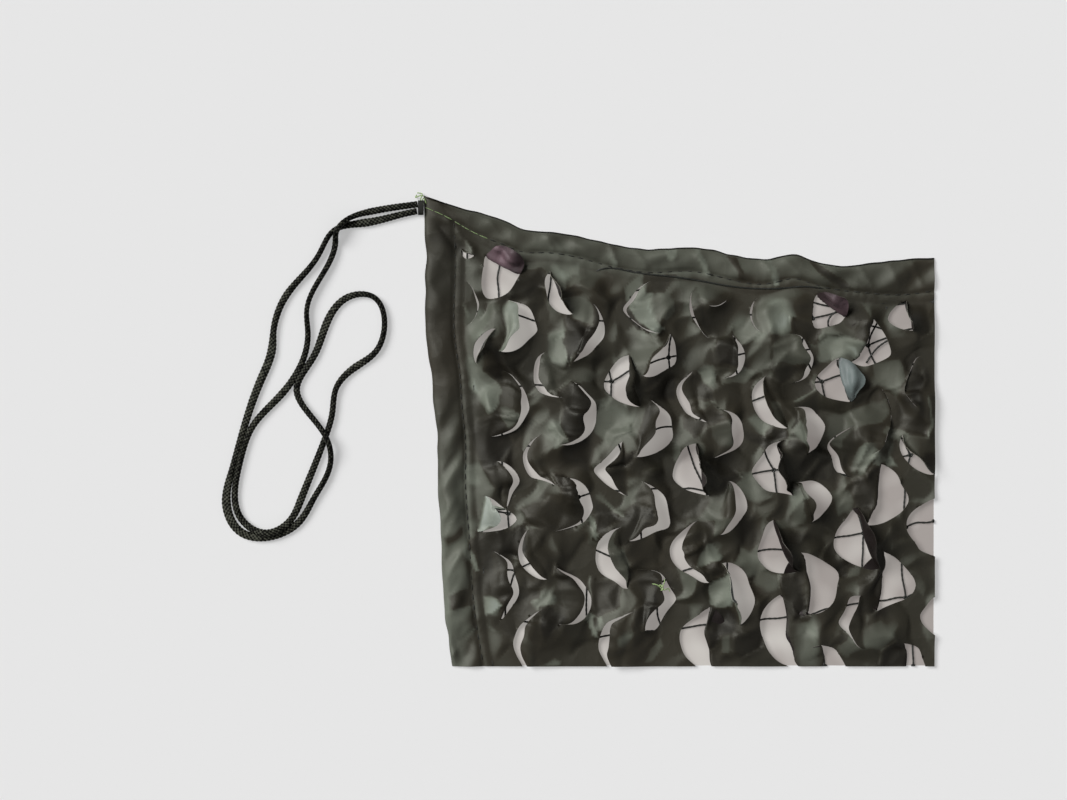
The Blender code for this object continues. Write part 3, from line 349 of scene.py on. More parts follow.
# flat-sided facets between the crumpled sheet's creases, each tilted a little and given a
# painted highlight, or below zero a painted shade: how far each faces the light, or away from
# it below zero, as a tone; how wide its sides fade; and its corners
FACETS = [
    # tone fade corners
    (0.6, 3, [(-137, 79), (-126, 71), (-131, 68), (-136, 61), (-141, 72)]),
    (0.75, 2.5, [(-142, 45), (-137, 46), (-127, 39), (-118, 28), (-121, 15), (-128, 12),
      (-136, 32)]),
    (0.5, 1.5, [(-78, 89), (-63, 90), (-56, 80), (-57, 70), (-68, 72)]),
    (0.75, 1.5, [(-74, 64), (-76, 46), (-80, 45), (-86, 51), (-83, 60)]),
    (-1.0, 1.5, [(-76, 78), (-68, 74), (-56, 62), (-74, 47), (-76, 61)]),
    (0.6, 2, [(-79, 110), (-66, 111), (-67, 104), (-80, 106)]),
    (-0.55, 3, [(-119, 52), (-98, 52), (-93, 32), (-101, 26), (-108, 31), (-117, 44)]),
    (-0.75, 3, [(-109, 105), (-91, 107), (-85, 100), (-106, 89), (-114, 92)]),
    (0.15, 4, [(-93, 44), (-74, 45), (-49, 40), (-58, 32), (-71, 33), (-87, 28), (-93, 31)]),
    (-0.95, 2, [(-81, 27), (-71, 32), (-61, 24), (-56, 12), (-58, 3), (-69, -8), (-76, -2),
      (-78, 15)]),
    (0.5, 1.5, [(-146, 85), (-144, 86), (-139, 76), (-141, 74)]),
    (0.55, 1.5, [(-120, 18), (-103, 10), (-115, 1)]),
    (0.75, 1.5, [(-89, -1), (-78, 4), (-73, -9), (-82, -11)]),
    (0.6, 3, [(-55, 15), (-39, 9), (-40, -4), (-47, -9), (-56, -1)]),
    (-0.85, 2, [(-135, 5), (-121, 15), (-115, 1), (-112, -9), (-121, -25), (-131, -25),
      (-136, -7)]),
    (-0.7, 3, [(-131, -25), (-118, -22), (-107, -39), (-112, -45), (-123, -36)]),
    (-0.45, 3, [(-106, -52), (-87, -45), (-62, -54), (-71, -66), (-83, -69), (-100, -61)]),
    (-0.95, 1.5, [(-84, -28), (-78, -28), (-62, -45), (-60, -53), (-69, -45), (-79, -39)]),
    (0.9, 1.2, [(-62, -56), (-59, -55), (-54, -69), (-56, -72)]),
    (-0.8, 1.5, [(-56, -47), (-41, -57), (-54, -67)]),
    (0.45, 1.5, [(-56, -44), (-53, -42), (-39, -56), (-41, -58)]),
    (0.6, 2, [(-141, -23), (-136, -24), (-135, -35), (-141, -33)]),
    (0.95, 1.5, [(-36, 96), (-25, 104), (-24, 91), (-21, 82), (-17, 74), (-10, 70), (-9, 68),
      (-18, 64), (-31, 78), (-36, 86)]),
    (-0.95, 1.5, [(-38, 89), (-36, 86), (-31, 78), (-19, 64), (-26, 67), (-37, 78)]),
    (-0.5, 2, [(-24, 104), (-2, 104), (-6, 99), (-9, 94), (-22, 91)]),
    (0.35, 3, [(-19, 89), (-8, 91), (-2, 80), (-8, 74), (-17, 76)]),
    (-0.85, 2, [(-18, 33), (-6, 41), (-2, 33), (-3, 21), (-18, 21), (-23, 28)]),
    (-1.0, 1.5, [(25, 62), (36, 62), (39, 55), (39, 44), (27, 32), (25, 42)]),
    (0.8, 2, [(11, 40), (22, 45), (25, 36), (23, 30), (16, 32)]),
    (0.4, 2, [(36, 67), (47, 74), (54, 66), (43, 58), (36, 63)]),
    (0.3, 2, [(6, 90), (12, 95), (7, 78), (4, 82)]),
    (-0.7, 2, [(8, 82), (16, 83), (23, 64), (20, 64), (9, 74)]),
    (-0.6, 2, [(2, 36), (11, 40), (20, 29), (23, 21), (3, 21)]),
    (0.4, 2, [(21, 44), (39, 44), (51, 39), (44, 32), (28, 31)]),
    (0.5, 2, [(-55, 19), (-40, 12), (-30, 1), (-43, -7), (-50, -8), (-54, 5)]),
    (-0.95, 1.5, [(-48, -23), (-31, -14), (-32, -19), (-36, -23), (-47, -26)]),
    (-0.6, 3, [(-23, -27), (-6, -23), (-1, -34), (-12, -39), (-17, -35)]),
    (-0.95, 1.5, [(-31, -51), (-18, -51), (-17, -58), (-36, -59)]),
    (0.15, 1.5, [(16, -22), (29, -33), (22, -41), (17, -40), (14, -31)]),
    (-0.65, 2, [(17, -19), (36, -23), (42, -33), (32, -36), (24, -29)]),
    (0.3, 3, [(20, 5), (34, 8), (38, -1), (36, -10), (24, -8)]),
    (-0.7, 3, [(2, 10), (23, 16), (29, 9), (20, 4), (9, -4), (3, 3)]),
    (0.95, 4, [(46, 7), (51, 11), (61, 3), (62, -4), (53, -2)]),
    (-1.0, 3, [(42, 1), (61, -6), (71, -10), (61, -14), (47, -6)]),
    (0.4, 3, [(36, -35), (48, -31), (60, -44), (45, -47)]),
    (0.5, 1.5, [(-51, -47), (-49, -46), (-36, -56), (-38, -58)]),
    (-0.8, 1.5, [(-56, -48), (-51, -49), (-39, -58), (-52, -67), (-55, -61)]),
    (0.3, 3, [(7, -61), (26, -56), (36, -57), (26, -69), (7, -73)]),
    (-0.4, 4, [(0, -38), (13, -42), (20, -45), (13, -57), (-2, -57), (-8, -47)]),
    (-0.9, 2, [(-133, -70), (-127, -64), (-114, -66), (-102, -65), (-102, -77), (-106, -84),
      (-118, -84), (-124, -81), (-128, -93), (-133, -91), (-136, -76)]),
    (0.9, 1.5, [(-140, -76), (-136, -82), (-134, -89), (-133, -95), (-136, -93), (-139, -85)]),
    (1.4, 1.5, [(-130, -110), (-117, -115), (-123, -121), (-129, -123)]),
    (-0.6, 2, [(-128, -94), (-112, -94), (-108, -109), (-116, -113), (-128, -108), (-132, -102)]),
    (-0.45, 2, [(-98, -66), (-64, -60), (-87, -70), (-98, -84), (-101, -77)]),
    (0.75, 4, [(-93, -110), (-88, -106), (-83, -114), (-87, -117), (-94, -118)]),
    (-1.0, 1.5, [(-93, -118), (-86, -117), (-75, -124), (-83, -133), (-86, -135), (-89, -128)]),
    (0.9, 1.5, [(-62, -120), (-58, -122), (-55, -133), (-56, -136), (-63, -125)]),
    (-0.7, 3, [(-58, -96), (-40, -102), (-40, -115), (-54, -125), (-59, -121)]),
    (-0.7, 2, [(-84, -89), (-71, -93), (-68, -98), (-65, -106), (-74, -102), (-83, -96)]),
    (-0.6, 3, [(-98, -100), (-93, -100), (-94, -110), (-102, -114), (-102, -106)]),
    (-0.5, 4, [(-128, -123), (-118, -127), (-110, -119), (-106, -138), (-114, -136)]),
    (0.5, 3, [(-93, -156), (-84, -151), (-79, -154), (-80, -156)]),
    (1.35, 9, [(60, 79), (69, 82), (74, 74), (73, 68), (63, 66), (60, 72)]),
    (0.5, 7, [(53, 87), (61, 82), (60, 72), (62, 65), (56, 66), (52, 74)]),
    (-0.6, 2, [(74, 75), (85, 74), (94, 66), (92, 57), (84, 62), (74, 66)]),
    (0.3, 3, [(61, 59), (70, 65), (79, 61), (86, 51), (86, 44), (74, 44), (60, 46)]),
    (-0.8, 2, [(59, 42), (85, 43), (69, 32)]),
    (0.9, 2, [(93, 55), (97, 63), (110, 64), (117, 62), (131, 56), (128, 47), (121, 47),
      (112, 51), (100, 47), (92, 46)]),
    (1.3, 3, [(110, 59), (117, 55), (117, 51), (110, 55)]),
    (0.35, 2, [(129, 44), (146, 48), (151, 42), (149, 32), (136, 29), (130, 37)]),
    (-1.0, 1.5, [(152, 39), (157, 44), (163, 36), (161, 26), (152, 22)]),
    (-0.6, 3, [(152, 85), (165, 85), (167, 66), (160, 61), (154, 74)]),
    (-0.5, 3, [(57, 38), (68, 31), (85, 36), (89, 28), (79, 21), (56, 21)]),
    (0.3, 3, [(98, 9), (110, 14), (138, 22), (140, 11), (134, 3), (117, 4), (110, -4), (106, -12),
      (100, -8)]),
    (-0.4, 1.5, [(108, -6), (119, 3), (138, 5), (130, -4), (119, -11), (112, -19), (107, -19)]),
    (0.7, 1.5, [(117, -25), (124, -14), (129, -11), (131, -13), (123, -22), (119, -28)]),
    (0.7, 1.5, [(128, -22), (132, -14), (134, -14), (133, -23)]),
    (1.0, 2, [(137, -24), (137, -19), (141, -17), (144, -23)]),
    (-0.6, 2, [(140, 12), (152, 10), (165, 7), (165, -4), (152, -2), (140, 4)]),
    (-1.0, 2, [(151, 34), (158, 34), (159, 19), (155, 16), (151, 23)]),
    (0.4, 1.5, [(134, -1), (138, 4), (152, -1), (149, -8)]),
    (0.85, 2, [(73, 1), (80, 8), (83, 1), (86, -10), (78, -4)]),
    (-0.85, 2, [(72, -6), (82, -8), (85, -15), (75, -17)]),
    (-1.0, 2, [(59, 3), (71, 1), (72, -4), (60, -9), (55, -6)]),
    (-0.5, 2, [(68, -12), (85, -29), (79, -33), (73, -40), (65, -27)]),
    (-0.95, 2, [(85, -27), (98, -12), (104, -19), (96, -23), (98, -33), (89, -33)]),
    (0.65, 1.5, [(74, -45), (81, -33), (84, -44), (75, -52)]),
    (0.4, 4, [(102, -40), (112, -38), (117, -48), (106, -57)]),
    (-0.8, 3, [(117, -33), (133, -30), (127, -52), (121, -52), (117, -48)]),
    (-0.6, 3, [(140, -64), (154, -48), (161, -49), (151, -61), (152, -72), (140, -72)]),
    (0.85, 1.5, [(11, -90), (17, -75), (22, -76), (29, -84), (26, -87), (15, -89)]),
    (-0.4, 2, [(11, -60), (24, -60), (22, -70), (16, -76), (9, -90), (4, -84), (5, -70)]),
    (-0.8, 1.5, [(15, -90), (26, -86), (32, -91), (23, -97)]),
    (1.1, 1.5, [(19, -102), (31, -94), (35, -98), (36, -117), (26, -117), (20, -116)]),
    (-1.0, 1.5, [(24, -118), (35, -118), (31, -128), (23, -144), (19, -146), (24, -127)]),
    (0.35, 4, [(26, -136), (34, -134), (34, -149), (28, -149)]),
    (-0.8, 2, [(36, -134), (45, -131), (54, -132), (55, -144), (42, -150), (36, -148)]),
    (0.5, 3, [(40, -76), (46, -79), (61, -91), (55, -95), (45, -97), (37, -89)]),
    (-0.4, 3, [(-15, -91), (-5, -76), (-6, -91), (2, -106), (-6, -110), (-12, -96)]),
    (-1.0, 1.5, [(-31, -119), (-21, -112), (-16, -106), (-14, -114), (-23, -125), (-30, -132)]),
    (0.7, 4, [(-41, -138), (-35, -134), (-32, -136), (-36, -140), (-40, -142)]),
    (-0.7, 1.5, [(-43, -72), (-36, -59), (-18, -59), (-28, -70), (-35, -76), (-44, -75)]),
    (0.35, 3, [(-21, -144), (-12, -138), (-10, -143), (-18, -154), (-23, -154)]),
    (-0.8, 2, [(94, -84), (100, -74), (104, -85), (116, -89), (112, -98), (106, -96)]),
    (0.3, 2, [(113, -91), (121, -91), (119, -96), (112, -98)]),
    (-0.85, 2, [(121, -99), (131, -92), (137, -106), (139, -109), (132, -119), (121, -121),
      (116, -125)]),
    (-0.85, 1.5, [(68, -95), (77, -95), (82, -109), (85, -119), (82, -125), (74, -112),
      (68, -106)]),
    (0.4, 5, [(51, -89), (60, -93), (67, -96), (66, -104), (58, -107), (51, -102)]),
    (0.35, 6, [(73, -127), (83, -126), (91, -141), (91, -156), (81, -156), (79, -144),
      (81, -136)]),
    (0.35, 7, [(119, -131), (134, -123), (143, -138), (134, -147), (125, -141)]),
    (-1.0, 1.5, [(134, -148), (145, -138), (151, -149), (150, -156), (134, -156)]),
    (-0.8, 2, [(98, -143), (109, -134), (110, -138), (101, -144)]),
    (0.25, 2, [(104, -144), (112, -138), (121, -144), (112, -151)]),
    (-0.85, 2, [(86, 114), (96, 109), (115, 95), (108, 95), (92, 106)]),
    (1.1, 1.5, [(53, 117), (59, 117), (63, 108), (59, 107)]),
    (1.0, 1.2, [(60, 110), (64, 110), (67, 97), (64, 96)]),
    (0.9, 1.2, [(9, 122), (13, 122), (21, 104), (18, 103)]),
    (0.7, 1.2, [(-48, 119), (-45, 120), (-41, 109), (-44, 108)]),
    (1.0, 1.5, [(-11, 121), (-2, 121), (-2, 116), (-7, 114)]),
    (0.45, 2, [(55, 115), (62, 113), (62, 107), (58, 108)]),
    (-0.35, 2, [(32, 117), (42, 100), (45, 100), (37, 116)]),
    (0.45, 3, [(-157, -84), (-147, -77), (-141, -77), (-154, -91), (-157, -93)]),
    (0.45, 3, [(-158, -60), (-149, -53), (-145, -54), (-156, -70)]),
    (-0.4, 6, [(-156, -72), (-145, -64), (-143, -68), (-154, -76)]),
    (-0.45, 3, [(-154, -110), (-142, -106), (-137, -114), (-151, -119)]),
    (0.55, 2, [(-142, -135), (-135, -129), (-136, -132), (-141, -137)]),
    (0.4, 1.5, [(-145, -64), (-143, -64), (-140, -72), (-142, -74)]),
    (0.4, 1.5, [(-138, -65), (-136, -66), (-135, -71), (-137, -72)]),
    (0.4, 1.5, [(-128, -128), (-125, -129), (-121, -134), (-124, -133)]),
    (0.4, 3, [(-157, -38), (-146, -31), (-143, -36), (-154, -52), (-157, -54)]),
    (-0.6, 2, [(-157, 140), (-151, 133), (-143, 122), (-147, 119), (-154, 127), (-158, 133)]),
]
FACET_WANDER = (13, 0.5, 71)    # how their sides wander: length, shift, seed
FACET_TILT, FACET_MOST = 0.2, 1.8   # its slope, and the most it rises or falls
FACET_OVER = 0.8            # share of the tone under it that a facet takes the place of
FACET_GRADE = 0.5           # how much of its tone it loses towards the light
# painted sheen and painted shade from the slope: the bearing the light comes from, the step over
# which the slope is read, how fast the tone follows it, and the most tone it gives
LIT_FROM, LIT_STEP, LIT_SLOPE, LIT_TONE = 150, 0.7, 2.5, 0.4
HEM_LIT, HEM_LIT_OVER = 0.45, 10    # of that on the hems, up to so far past the seam
LEAF_KEEPS = 0.4            # share of the sheet's tone that a leaf keeps under its own
# where the cloth's brown back is mauve: x, y, reach
BLUSH = [(-125, 105, 15), (100, 70, 15), (-29, -7, 8), (71, -88, 8)]
COLUMNS, ROWS = 214, 184

# ---- string mesh, its knots where the solids have them ---------------------------------------
STRING_RADIUS, STRING_STEP, STRING_LEAST = 0.62, 1.6, 8
TWINE_SIDES, TWINE_PITCH, TWINE_RELIEF = 6, 3.2, 0.16
BORDER_INSET = 27.5
SLACK = 0.045               # sideways belly of a string, as a share of its length
STRING_WAVES = (20, 0.5, 41)
STRING_CLEAR, STRING_LIFT = 0.15, 0.5   # above the surface, and more than that at the knots
KNOT_LONG, KNOT_WIDE, KNOT_LEVEL, KNOT_RISE = 1.1875, 0.855, 1.05, 0.35
KNOT_TURNS, KNOT_PLACES, KNOT_REACH = 1.5, 22, 0.6
KNOT_ROWS = [
    [(-119, 79), (-85, 69), (-45, 73), (-2, 73), (42, 77), (89, 75), (137, 82), (170, 86)],
    [(-115, 29), (-79, 28), (-45, 33), (-7, 49), (37, 50), (81, 53), (126, 57), (170, 71)],
    [(-117, -11), (-79, -13), (-41, -7), (4, 3), (47, 19), (95, 33), (134, 39), (170, 46)],
    [(-114, -55), (-67, -44), (-26, -40), (18, -40), (63, -26), (117, -31), (154, -16),
     (170, -13)],
    [(-109, -93), (-59, -78), (-16, -103), (32, -86), (79, -79), (123, -68), (151, -64),
     (170, -60)],
    [(-116, -126), (-59, -139), (-11, -134), (39, -131), (86, -123), (125, -115), (151, -111),
     (170, -107)],
]
BOTTOM_KNOTS = [-116, -54, -10, 42, 97, 131, 156]

# ravelled lengths of twine in the big opening under the top hem, and the border string where
# it lies over the cloth: x, y, z
LOOSE_TWINE = [
    [(105.3, 80, 3.2), (100, 75.3, 3.0), (99.3, 70, 2.5), (103.3, 66, 2.0), (109, 64.5, 1.6)],
    [(115, 72.7, 2.4), (110.7, 72, 3.2), (108.7, 68.7, 2.6), (112, 66.5, 1.8), (118, 66.8, 1.4)],
    [(95.3, 68, 2.0), (104, 66, 1.5), (116, 68.7, 1.2), (127.3, 70, 1.4), (137.3, 67.3, 2.0)],
    [(140.7, 61.3, 2.0), (132.7, 56, 1.6), (124.7, 45.3, 1.2)],
    [(105.3, 47.3, 3.0), (106, 43, 2.0), (109, 40.7, 1.4)],
]
BORDER_OVER = [(-59.3, 103.3), (-54, 107), (-47.3, 108.5), (-32.7, 106.2), (-9.3, 103.3), (14, 100),
               (37.3, 96), (50.7, 94.9), (70.7, 95.3), (82, 96.2), (92, 95.4), (100.7, 94.0)]
LOOSE_STEP, OVER_STEP, OVER_RADIUS = 0.9, 1.2, 0.5
OVER_DIP, OVER_PLACES = 1.6, 8.0    # its ends dip under the cloth over so many places

# ---- tie cord --------------------------------------------------------------------------------
CORD_DIAMETER = 4.2
CORD_CLEAR, HUMP = 0.05, 4.7
# from one leg at the corner round to the other. over: how far a strand is humped over another.
# wide: how flat the cord lies there
CORD_ROUTE = [
    # x        y     over  wide
    (-174.2, 151.0,  0.0,  0.92),
    (-205.3, 146.2,  0.0,  1.0),
    (-219.3, 141.5,  0.61, 0.7),
    (-228.0, 132.1,  1.0,  0.72),
    (-228.9, 125.0,  0.15, 0.85),
    (-248.0, 79.7,   0.0,  0.6),
    (-247.2, 66.0,   0.0,  0.79),
    (-264.4, 25.0,   0.0,  1.09),
    (-284.3, 2.7,    0.0,  0.95),
    (-292.0, -19.0,  0.0,  0.88),
    (-290.9, -59.4,  0.1,  1.0),
    (-275.5, -67.8,  0.7,  1.05),
    (-258.6, -59.1,  0.3,  1.0),
    (-252.2, -46.4,  0.0,  1.1),
    (-234.9, -2.3,   0.0,  0.87),
    (-230.9, 12.6,   0.0,  0.87),
    (-228.6, 27.9,   0.0,  0.8),
    (-215.0, 43.0,   0.0,  1.1),
    (-201.2, 54.0,   0.0,  0.85),
    (-203.8, 89.4,   0.0,  0.72),
    (-220.4, 89.2,   0.0,  1.0),
    (-234.9, 71.6,   0.0,  1.15),
    (-243.4, 49.7,   0.0,  1.0),
    (-254.6, 28.9,   0.0,  0.95),
    (-233.5, -7.0,   0.84, 0.75),
    (-233.1, -25.5,  0.0,  0.8),
    (-243.3, -44.9,  0.0,  0.85),
    (-254.0, -61.4,  0.0,  1.05),
    (-292.8, -66.6,  0.0,  1.2),
    (-301.5, -48.2,  0.0,  1.32),
    (-297.8, -26.1,  0.0,  0.92),
    (-278.6, 34.0,   0.0,  1.22),
    (-271.2, 54.5,   0.0,  1.25),
    (-270.2, 66.0,   0.0,  0.9),
    (-261.5, 90.5,   0.0,  1.05),
    (-239.7, 117.8,  0.0,  0.72),
    (-230.5, 133.0,  0.0,  0.69),
    (-209.2, 138.7,  0.0,  1.2),
    (-183.1, 144.6,  0.0,  0.9),
    (-174.6, 146.4,  0.0,  0.92),
]
CORD_FLAT, CORD_LOW, CORD_HIGH = 1.1, 0.85, 1.3     # shares of the diameter: width, and height
BRAID_STRANDS = 5           # crowns round the cord in each row
BRAID_PITCH = 1.3
BRAID_RELIEF = 0.08
RUBBED_WIDE, RUBBED_SHARE = (0.9, 1.35), (0.9, 1.3)     # the flatter it lies, the more rubbed
CORD_SIDES, CORD_STEP = 24, 0.62

# ---- whipping, stitches and loose ends -------------------------------------------------------
WHIP_START, WHIP_LENGTH, WHIP_WIDE, WHIP_TALL = 0.8, 3.0, 10.2, 5.0
WHIP_TURNS, WHIP_PLACES, WHIP_SQUARE = 7, 28, 0.7
WHIP_THREAD, WHIP_IN, WHIP_OUT = 0.3, 0.4, 0.4      # radius; inside the solid; past its ends
THREAD_SIDES = 6
STITCH_PITCH, STITCH_LENGTH, STITCH_RADIUS, STITCH_RAISED = 6.7, 4.9, 0.42, 0.25
PALE_LENGTH, PALE_RADIUS, PALE_RAISED = 7.0, 0.28, 0.45
STITCH_RINGS, STITCH_DIVE, STITCH_BLUNT = 5, 0.25, 0.02
GREEN_UNTIL = -128.0        # the corner's first length of seam is sewn in pale thread
SEAM_STEP = 0.25
LEFT_SEWN = (3 - HALF_HEIGHT, 142)      # where each seam starts and ends
TOP_SEWN = (-169, 169)
# loose ends of the pale sewing thread at the corner and of the tie by the mesh: x, y, z
GREEN_ENDS = [
    [(-170.6, 146.0, 1.2), (-171.6, 150.5, 2.6), (-170.2, 155.0, 2.8), (-168.4, 151.5, 2.4)],
    [(-170.0, 151.0, 2.6), (-172.2, 154.4, 3.0), (-171.0, 157.6, 2.6), (-174.4, 158.6, 1.6)],
    [(-169.6, 156.2, 2.2), (-173.0, 156.6, 2.4), (-175.6, 155.6, 1.4), (-174.8, 157.4, 1.0)],
    [(-12.7, -104, 6.4), (-15, -102, 7.0), (-18.6, -101.2, 5.6), (-20.4, -99.6, 4.6)],
    [(-12.7, -104, 6.4), (-10.6, -101.6, 7.2), (-9.8, -98.4, 6.2)],
    [(-12.7, -104, 6.4), (-10, -105.4, 7.0), (-7.4, -104.6, 5.8), (-6.4, -106.6, 5.0)],
    [(-13.6, -102.6, 6.0), (-11.2, -102.8, 7.4), (-11.4, -105.4, 7.2), (-13.9, -105.2, 6.2),
     (-13.4, -102.4, 6.8), (-11.0, -103.6, 7.6), (-12.4, -105.8, 6.6)],
]
GREEN_STEP, GREEN_RADIUS, GREEN_PITCH = 0.5, 0.36, 1.4


# ---- curves and waves ------------------------------------------------------------------------
def spline(knots, values, at):
    """A natural cubic curve through (knots, values), read at the places in at."""
    knots, values, at = (np.asarray(item, float) for item in (knots, values, at))
    count = len(knots)
    gap = np.diff(knots)
    slope = np.diff(values) / gap
    system, right = np.eye(count), np.zeros(count)
    for row in range(1, count - 1):
        system[row, row - 1:row + 2] = gap[row - 1], 2 * (gap[row - 1] + gap[row]), gap[row]
        right[row] = 6 * (slope[row] - slope[row - 1])
    bend = np.linalg.solve(system, right)
    part = np.clip(np.searchsorted(knots, at) - 1, 0, count - 2)
    before, after, wide = at - knots[part], knots[part + 1] - at, gap[part]
    return ((bend[part] * after ** 3 + bend[part + 1] * before ** 3) / (6 * wide)
            + (values[part] / wide - bend[part] * wide / 6) * after
            + (values[part + 1] / wide - bend[part + 1] * wide / 6) * before)


def along_table(table, at):
    """A table's second column, read as a smooth curve over its first."""
    return spline([row[0] for row in table], [row[1] for row in table], at)


def left_edge(y):
    return along_table(LEFT_EDGE, y)


def top_edge(x):
    return along_table(TOP_EDGE, x)


def smooth(share):
    """0 up to 0, 1 from 1 on, and an S-curve 3t^2 - 2t^3 between."""
    share = np.clip(share, 0, 1)
    return share * share * (3 - 2 * share)


def waves(x, y, length, seed, stretch=1.0, lean=0.0):
    """Soft random waves of height about 1: the sum of WAVE_COUNT cosines whose directions,
    lengths near the one given, and phases come from a seed. Stretched, they run on further
    along the direction lean."""
    draw = np.random.default_rng(seed)
    turn = draw.uniform(0, math.pi, WAVE_COUNT)
    rate = 2 * math.pi / (length * draw.uniform(*WAVE_SPREAD, WAVE_COUNT))
    phase = draw.uniform(0, 2 * math.pi, WAVE_COUNT)
    on = (x * math.cos(lean) + y * math.sin(lean)) / stretch
    off = y * math.cos(lean) - x * math.sin(lean)
    total = np.zeros(np.shape(x))
    for bearing, speed, start in zip(turn, rate, phase):
        total += np.cos(speed * (on * math.cos(bearing) + off * math.sin(bearing)) + start)
    return total * math.sqrt(2 / WAVE_COUNT)


def wandered(x, y, drift):
    """Places moved sideways and up by two sets of waves of the same length and height."""
    length, shift, seed = drift
    return x + shift * waves(x, y, length, seed), y + shift * waves(x, y, length, seed + 1)


def capsule_distance(x, y, x0, y0, x1, y1):
    """Distance of places from the straight line between two points."""
    run = np.array([x1 - x0, y1 - y0], float)
    share = np.clip(((x - x0) * run[0] + (y - y0) * run[1]) / (run @ run), 0, 1)
    return np.hypot(x - x0 - share * run[0], y - y0 - share * run[1])


def fold_share(x, y, ends, width, fall):
    """A fold's section: exp(-fall d / width) of the distance d from its line, rounded on top."""
    off = np.hypot(capsule_distance(x, y, *ends), FOLD_ROUND) - FOLD_ROUND
    return np.exp(-fall * off / width)


def lengths_along(line):
    """How far along a line each of its places is."""
    return np.concatenate([[0], np.cumsum(np.linalg.norm(np.diff(line, axis=0), axis=1))])


def smooth_line(route, step):
    """Places about a step apart on a natural cubic curve through a route's points."""
    route = np.array(route, float)
    run = lengths_along(route)
    at = np.linspace(0, run[-1], max(3, int(run[-1] / step) + 1))
    return np.stack([spline(run, route[:, k], at) for k in range(route.shape[1])], axis=1)


# ---- meshes ----------------------------------------------------------------------------------
def placed(name, data):
    """An object of the given data in the scene."""
    thing = bpy.data.objects.new(name, data)
    bpy.context.scene.collection.objects.link(thing)
    return thing


def set_values(mesh, name, values):
    """A number for each point of a mesh, which its material reads by name."""
    layer = mesh.attributes.new(name, "FLOAT", "POINT")
    layer.data.foreach_set("value", values.astype(np.float32))


def make_piece(name, points, faces, finishes, flat=None):
    """One object from points in millimetres. flat is the pattern place of each point, in
    millimetres too, and becomes the piece's UV map in metres."""
    mesh = bpy.data.meshes.new(name)
    mesh.from_pydata((np.asarray(points) * MM).tolist(), [], np.asarray(faces).tolist())
    for finish in finishes:
        mesh.materials.append(finish)
    if flat is not None:
        corner = np.zeros(len(mesh.loops), np.int32)
        mesh.loops.foreach_get("vertex_index", corner)
        layer = mesh.uv_layers.new(name="pattern")
        layer.data.foreach_set("uv", (np.asarray(flat)[corner] * MM).astype(np.float32).ravel())
    mesh.shade_smooth()
    mesh.validate()
    piece = placed(name, mesh)
    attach(piece, "root")
    return piece


def grid_corners(number):
    """The four corners, anticlockwise, of every square in a grid of numbered places."""
    return (item.ravel() for item in (number[:-1, :-1], number[:-1, 1:],
                                      number[1:, 1:], number[1:, :-1]))


def ring_corners(rings, sides):
    """The same for rings of places that close on themselves."""
    number = np.arange(rings * sides).reshape(rings, sides)
    return grid_corners(np.column_stack([number, number[:, 0]]))


def tube(line, radius, sides):
    """A closed tube: round each place of the line a ring in the plane across it. radius is
    an array of places by sides. Returns points, triangles, and for each point how far round
    and how far along it is."""
    run = np.gradient(line, axis=0)
    run /= np.linalg.norm(run, axis=1)[:, None]
    aside = np.stack([-run[:, 1], run[:, 0], np.zeros(len(run))], axis=1)
    aside /= np.maximum(np.linalg.norm(aside, axis=1), TINY)[:, None]
    up = np.cross(run, aside)
    turn = 2 * math.pi * np.arange(sides) / sides
    ring = radius[:, :, None] * (np.cos(turn)[None, :, None] * aside[:, None]
                                 + np.sin(turn)[None, :, None] * up[:, None])
    points = (line[:, None] + ring).reshape(-1, 3)
    a, b, c, d = ring_corners(len(line), sides)
    faces = np.concatenate([np.stack([a, d, c], 1), np.stack([a, c, b], 1)])
    count = len(points)
    first, last = np.arange(sides), np.arange(sides) + count - sides
    caps = [np.stack([np.full(sides, count), first, np.roll(first, -1)], 1),
            np.stack([np.full(sides, count + 1), np.roll(last, -1), last], 1)]
    points = np.vstack([points, line[:1], line[-1:]])
    length = lengths_along(line)
    around = np.stack(np.meshgrid(turn, length), axis=2).reshape(-1, 2)
    around = np.vstack([around, [0, 0], [0, length[-1]]])
    return points, np.vstack([faces, *caps]), around


def joined(parts):
    """The points and the faces of several tubes made one."""
    start = np.cumsum([0] + [len(part[0]) for part in parts[:-1]])
    return (np.vstack([part[0] for part in parts]),
            np.vstack([part[1] + first for part, first in zip(parts, start)]))


# ---- materials -------------------------------------------------------------------------------
MM_A_METRE = 1000.0
SILVER_HIGHLIGHT = "#A9B1AA"          # painted highlight: the palest, nearly silver sheen on the coating
DYE_LENGTH, DYE_FROM, DYE_TO = 60, 0.35, 0.65
WEAVE_SIZE, WEAVE_UNEVEN = 5.6, 0.4     # threads 0.3 mm apart, drawn 0.9 mm apart to show at all
CRAZE_SIZE, CREASE_SIZE = 9, 17
CREASE_WANDER = 0.006       # how far the creases stray, in metres
# how strong a relief is, and how tall in metres
WEAVE_BUMP, CREASE_BUMP, CRAZE_BUMP = (0.08, 0.0001), (0.22, 0.004), (0.12, 0.0006)
FIBRE_BUMP, BOARD_BUMP = (0.3, 0.0002), (0.05, 0.0001)
COAT_GLOSS, CORD_GLOSS, BOARD_GLOSS = 0.4, 0.06, 0.1
COAT_ROUGH, CUT_ROUGH, CORD_ROUGH, BOARD_ROUGH = 0.56, 0.6, 0.62, 0.9
THREAD_ROUGH, THREAD_GRAIN = 0.7, 0.5
TWINE_ROUGH, TWINE_GRAIN = 0.55, 0.8
CORD_GAP, CORD_CROWN = "#040403", "#53544A"
CORD_FUZZ, CROWN_FROM, CROWN_TO = 2.2, 0.22, 0.5
BOARD_TOOTH = 2
BOARD_DRIFT, BOARD_FROM, BOARD_TO = 30, 0.3, 0.7
BOARD_RIGHT = 1.2           # how much of the second shade, a darker painted shade, each metre of +X brings
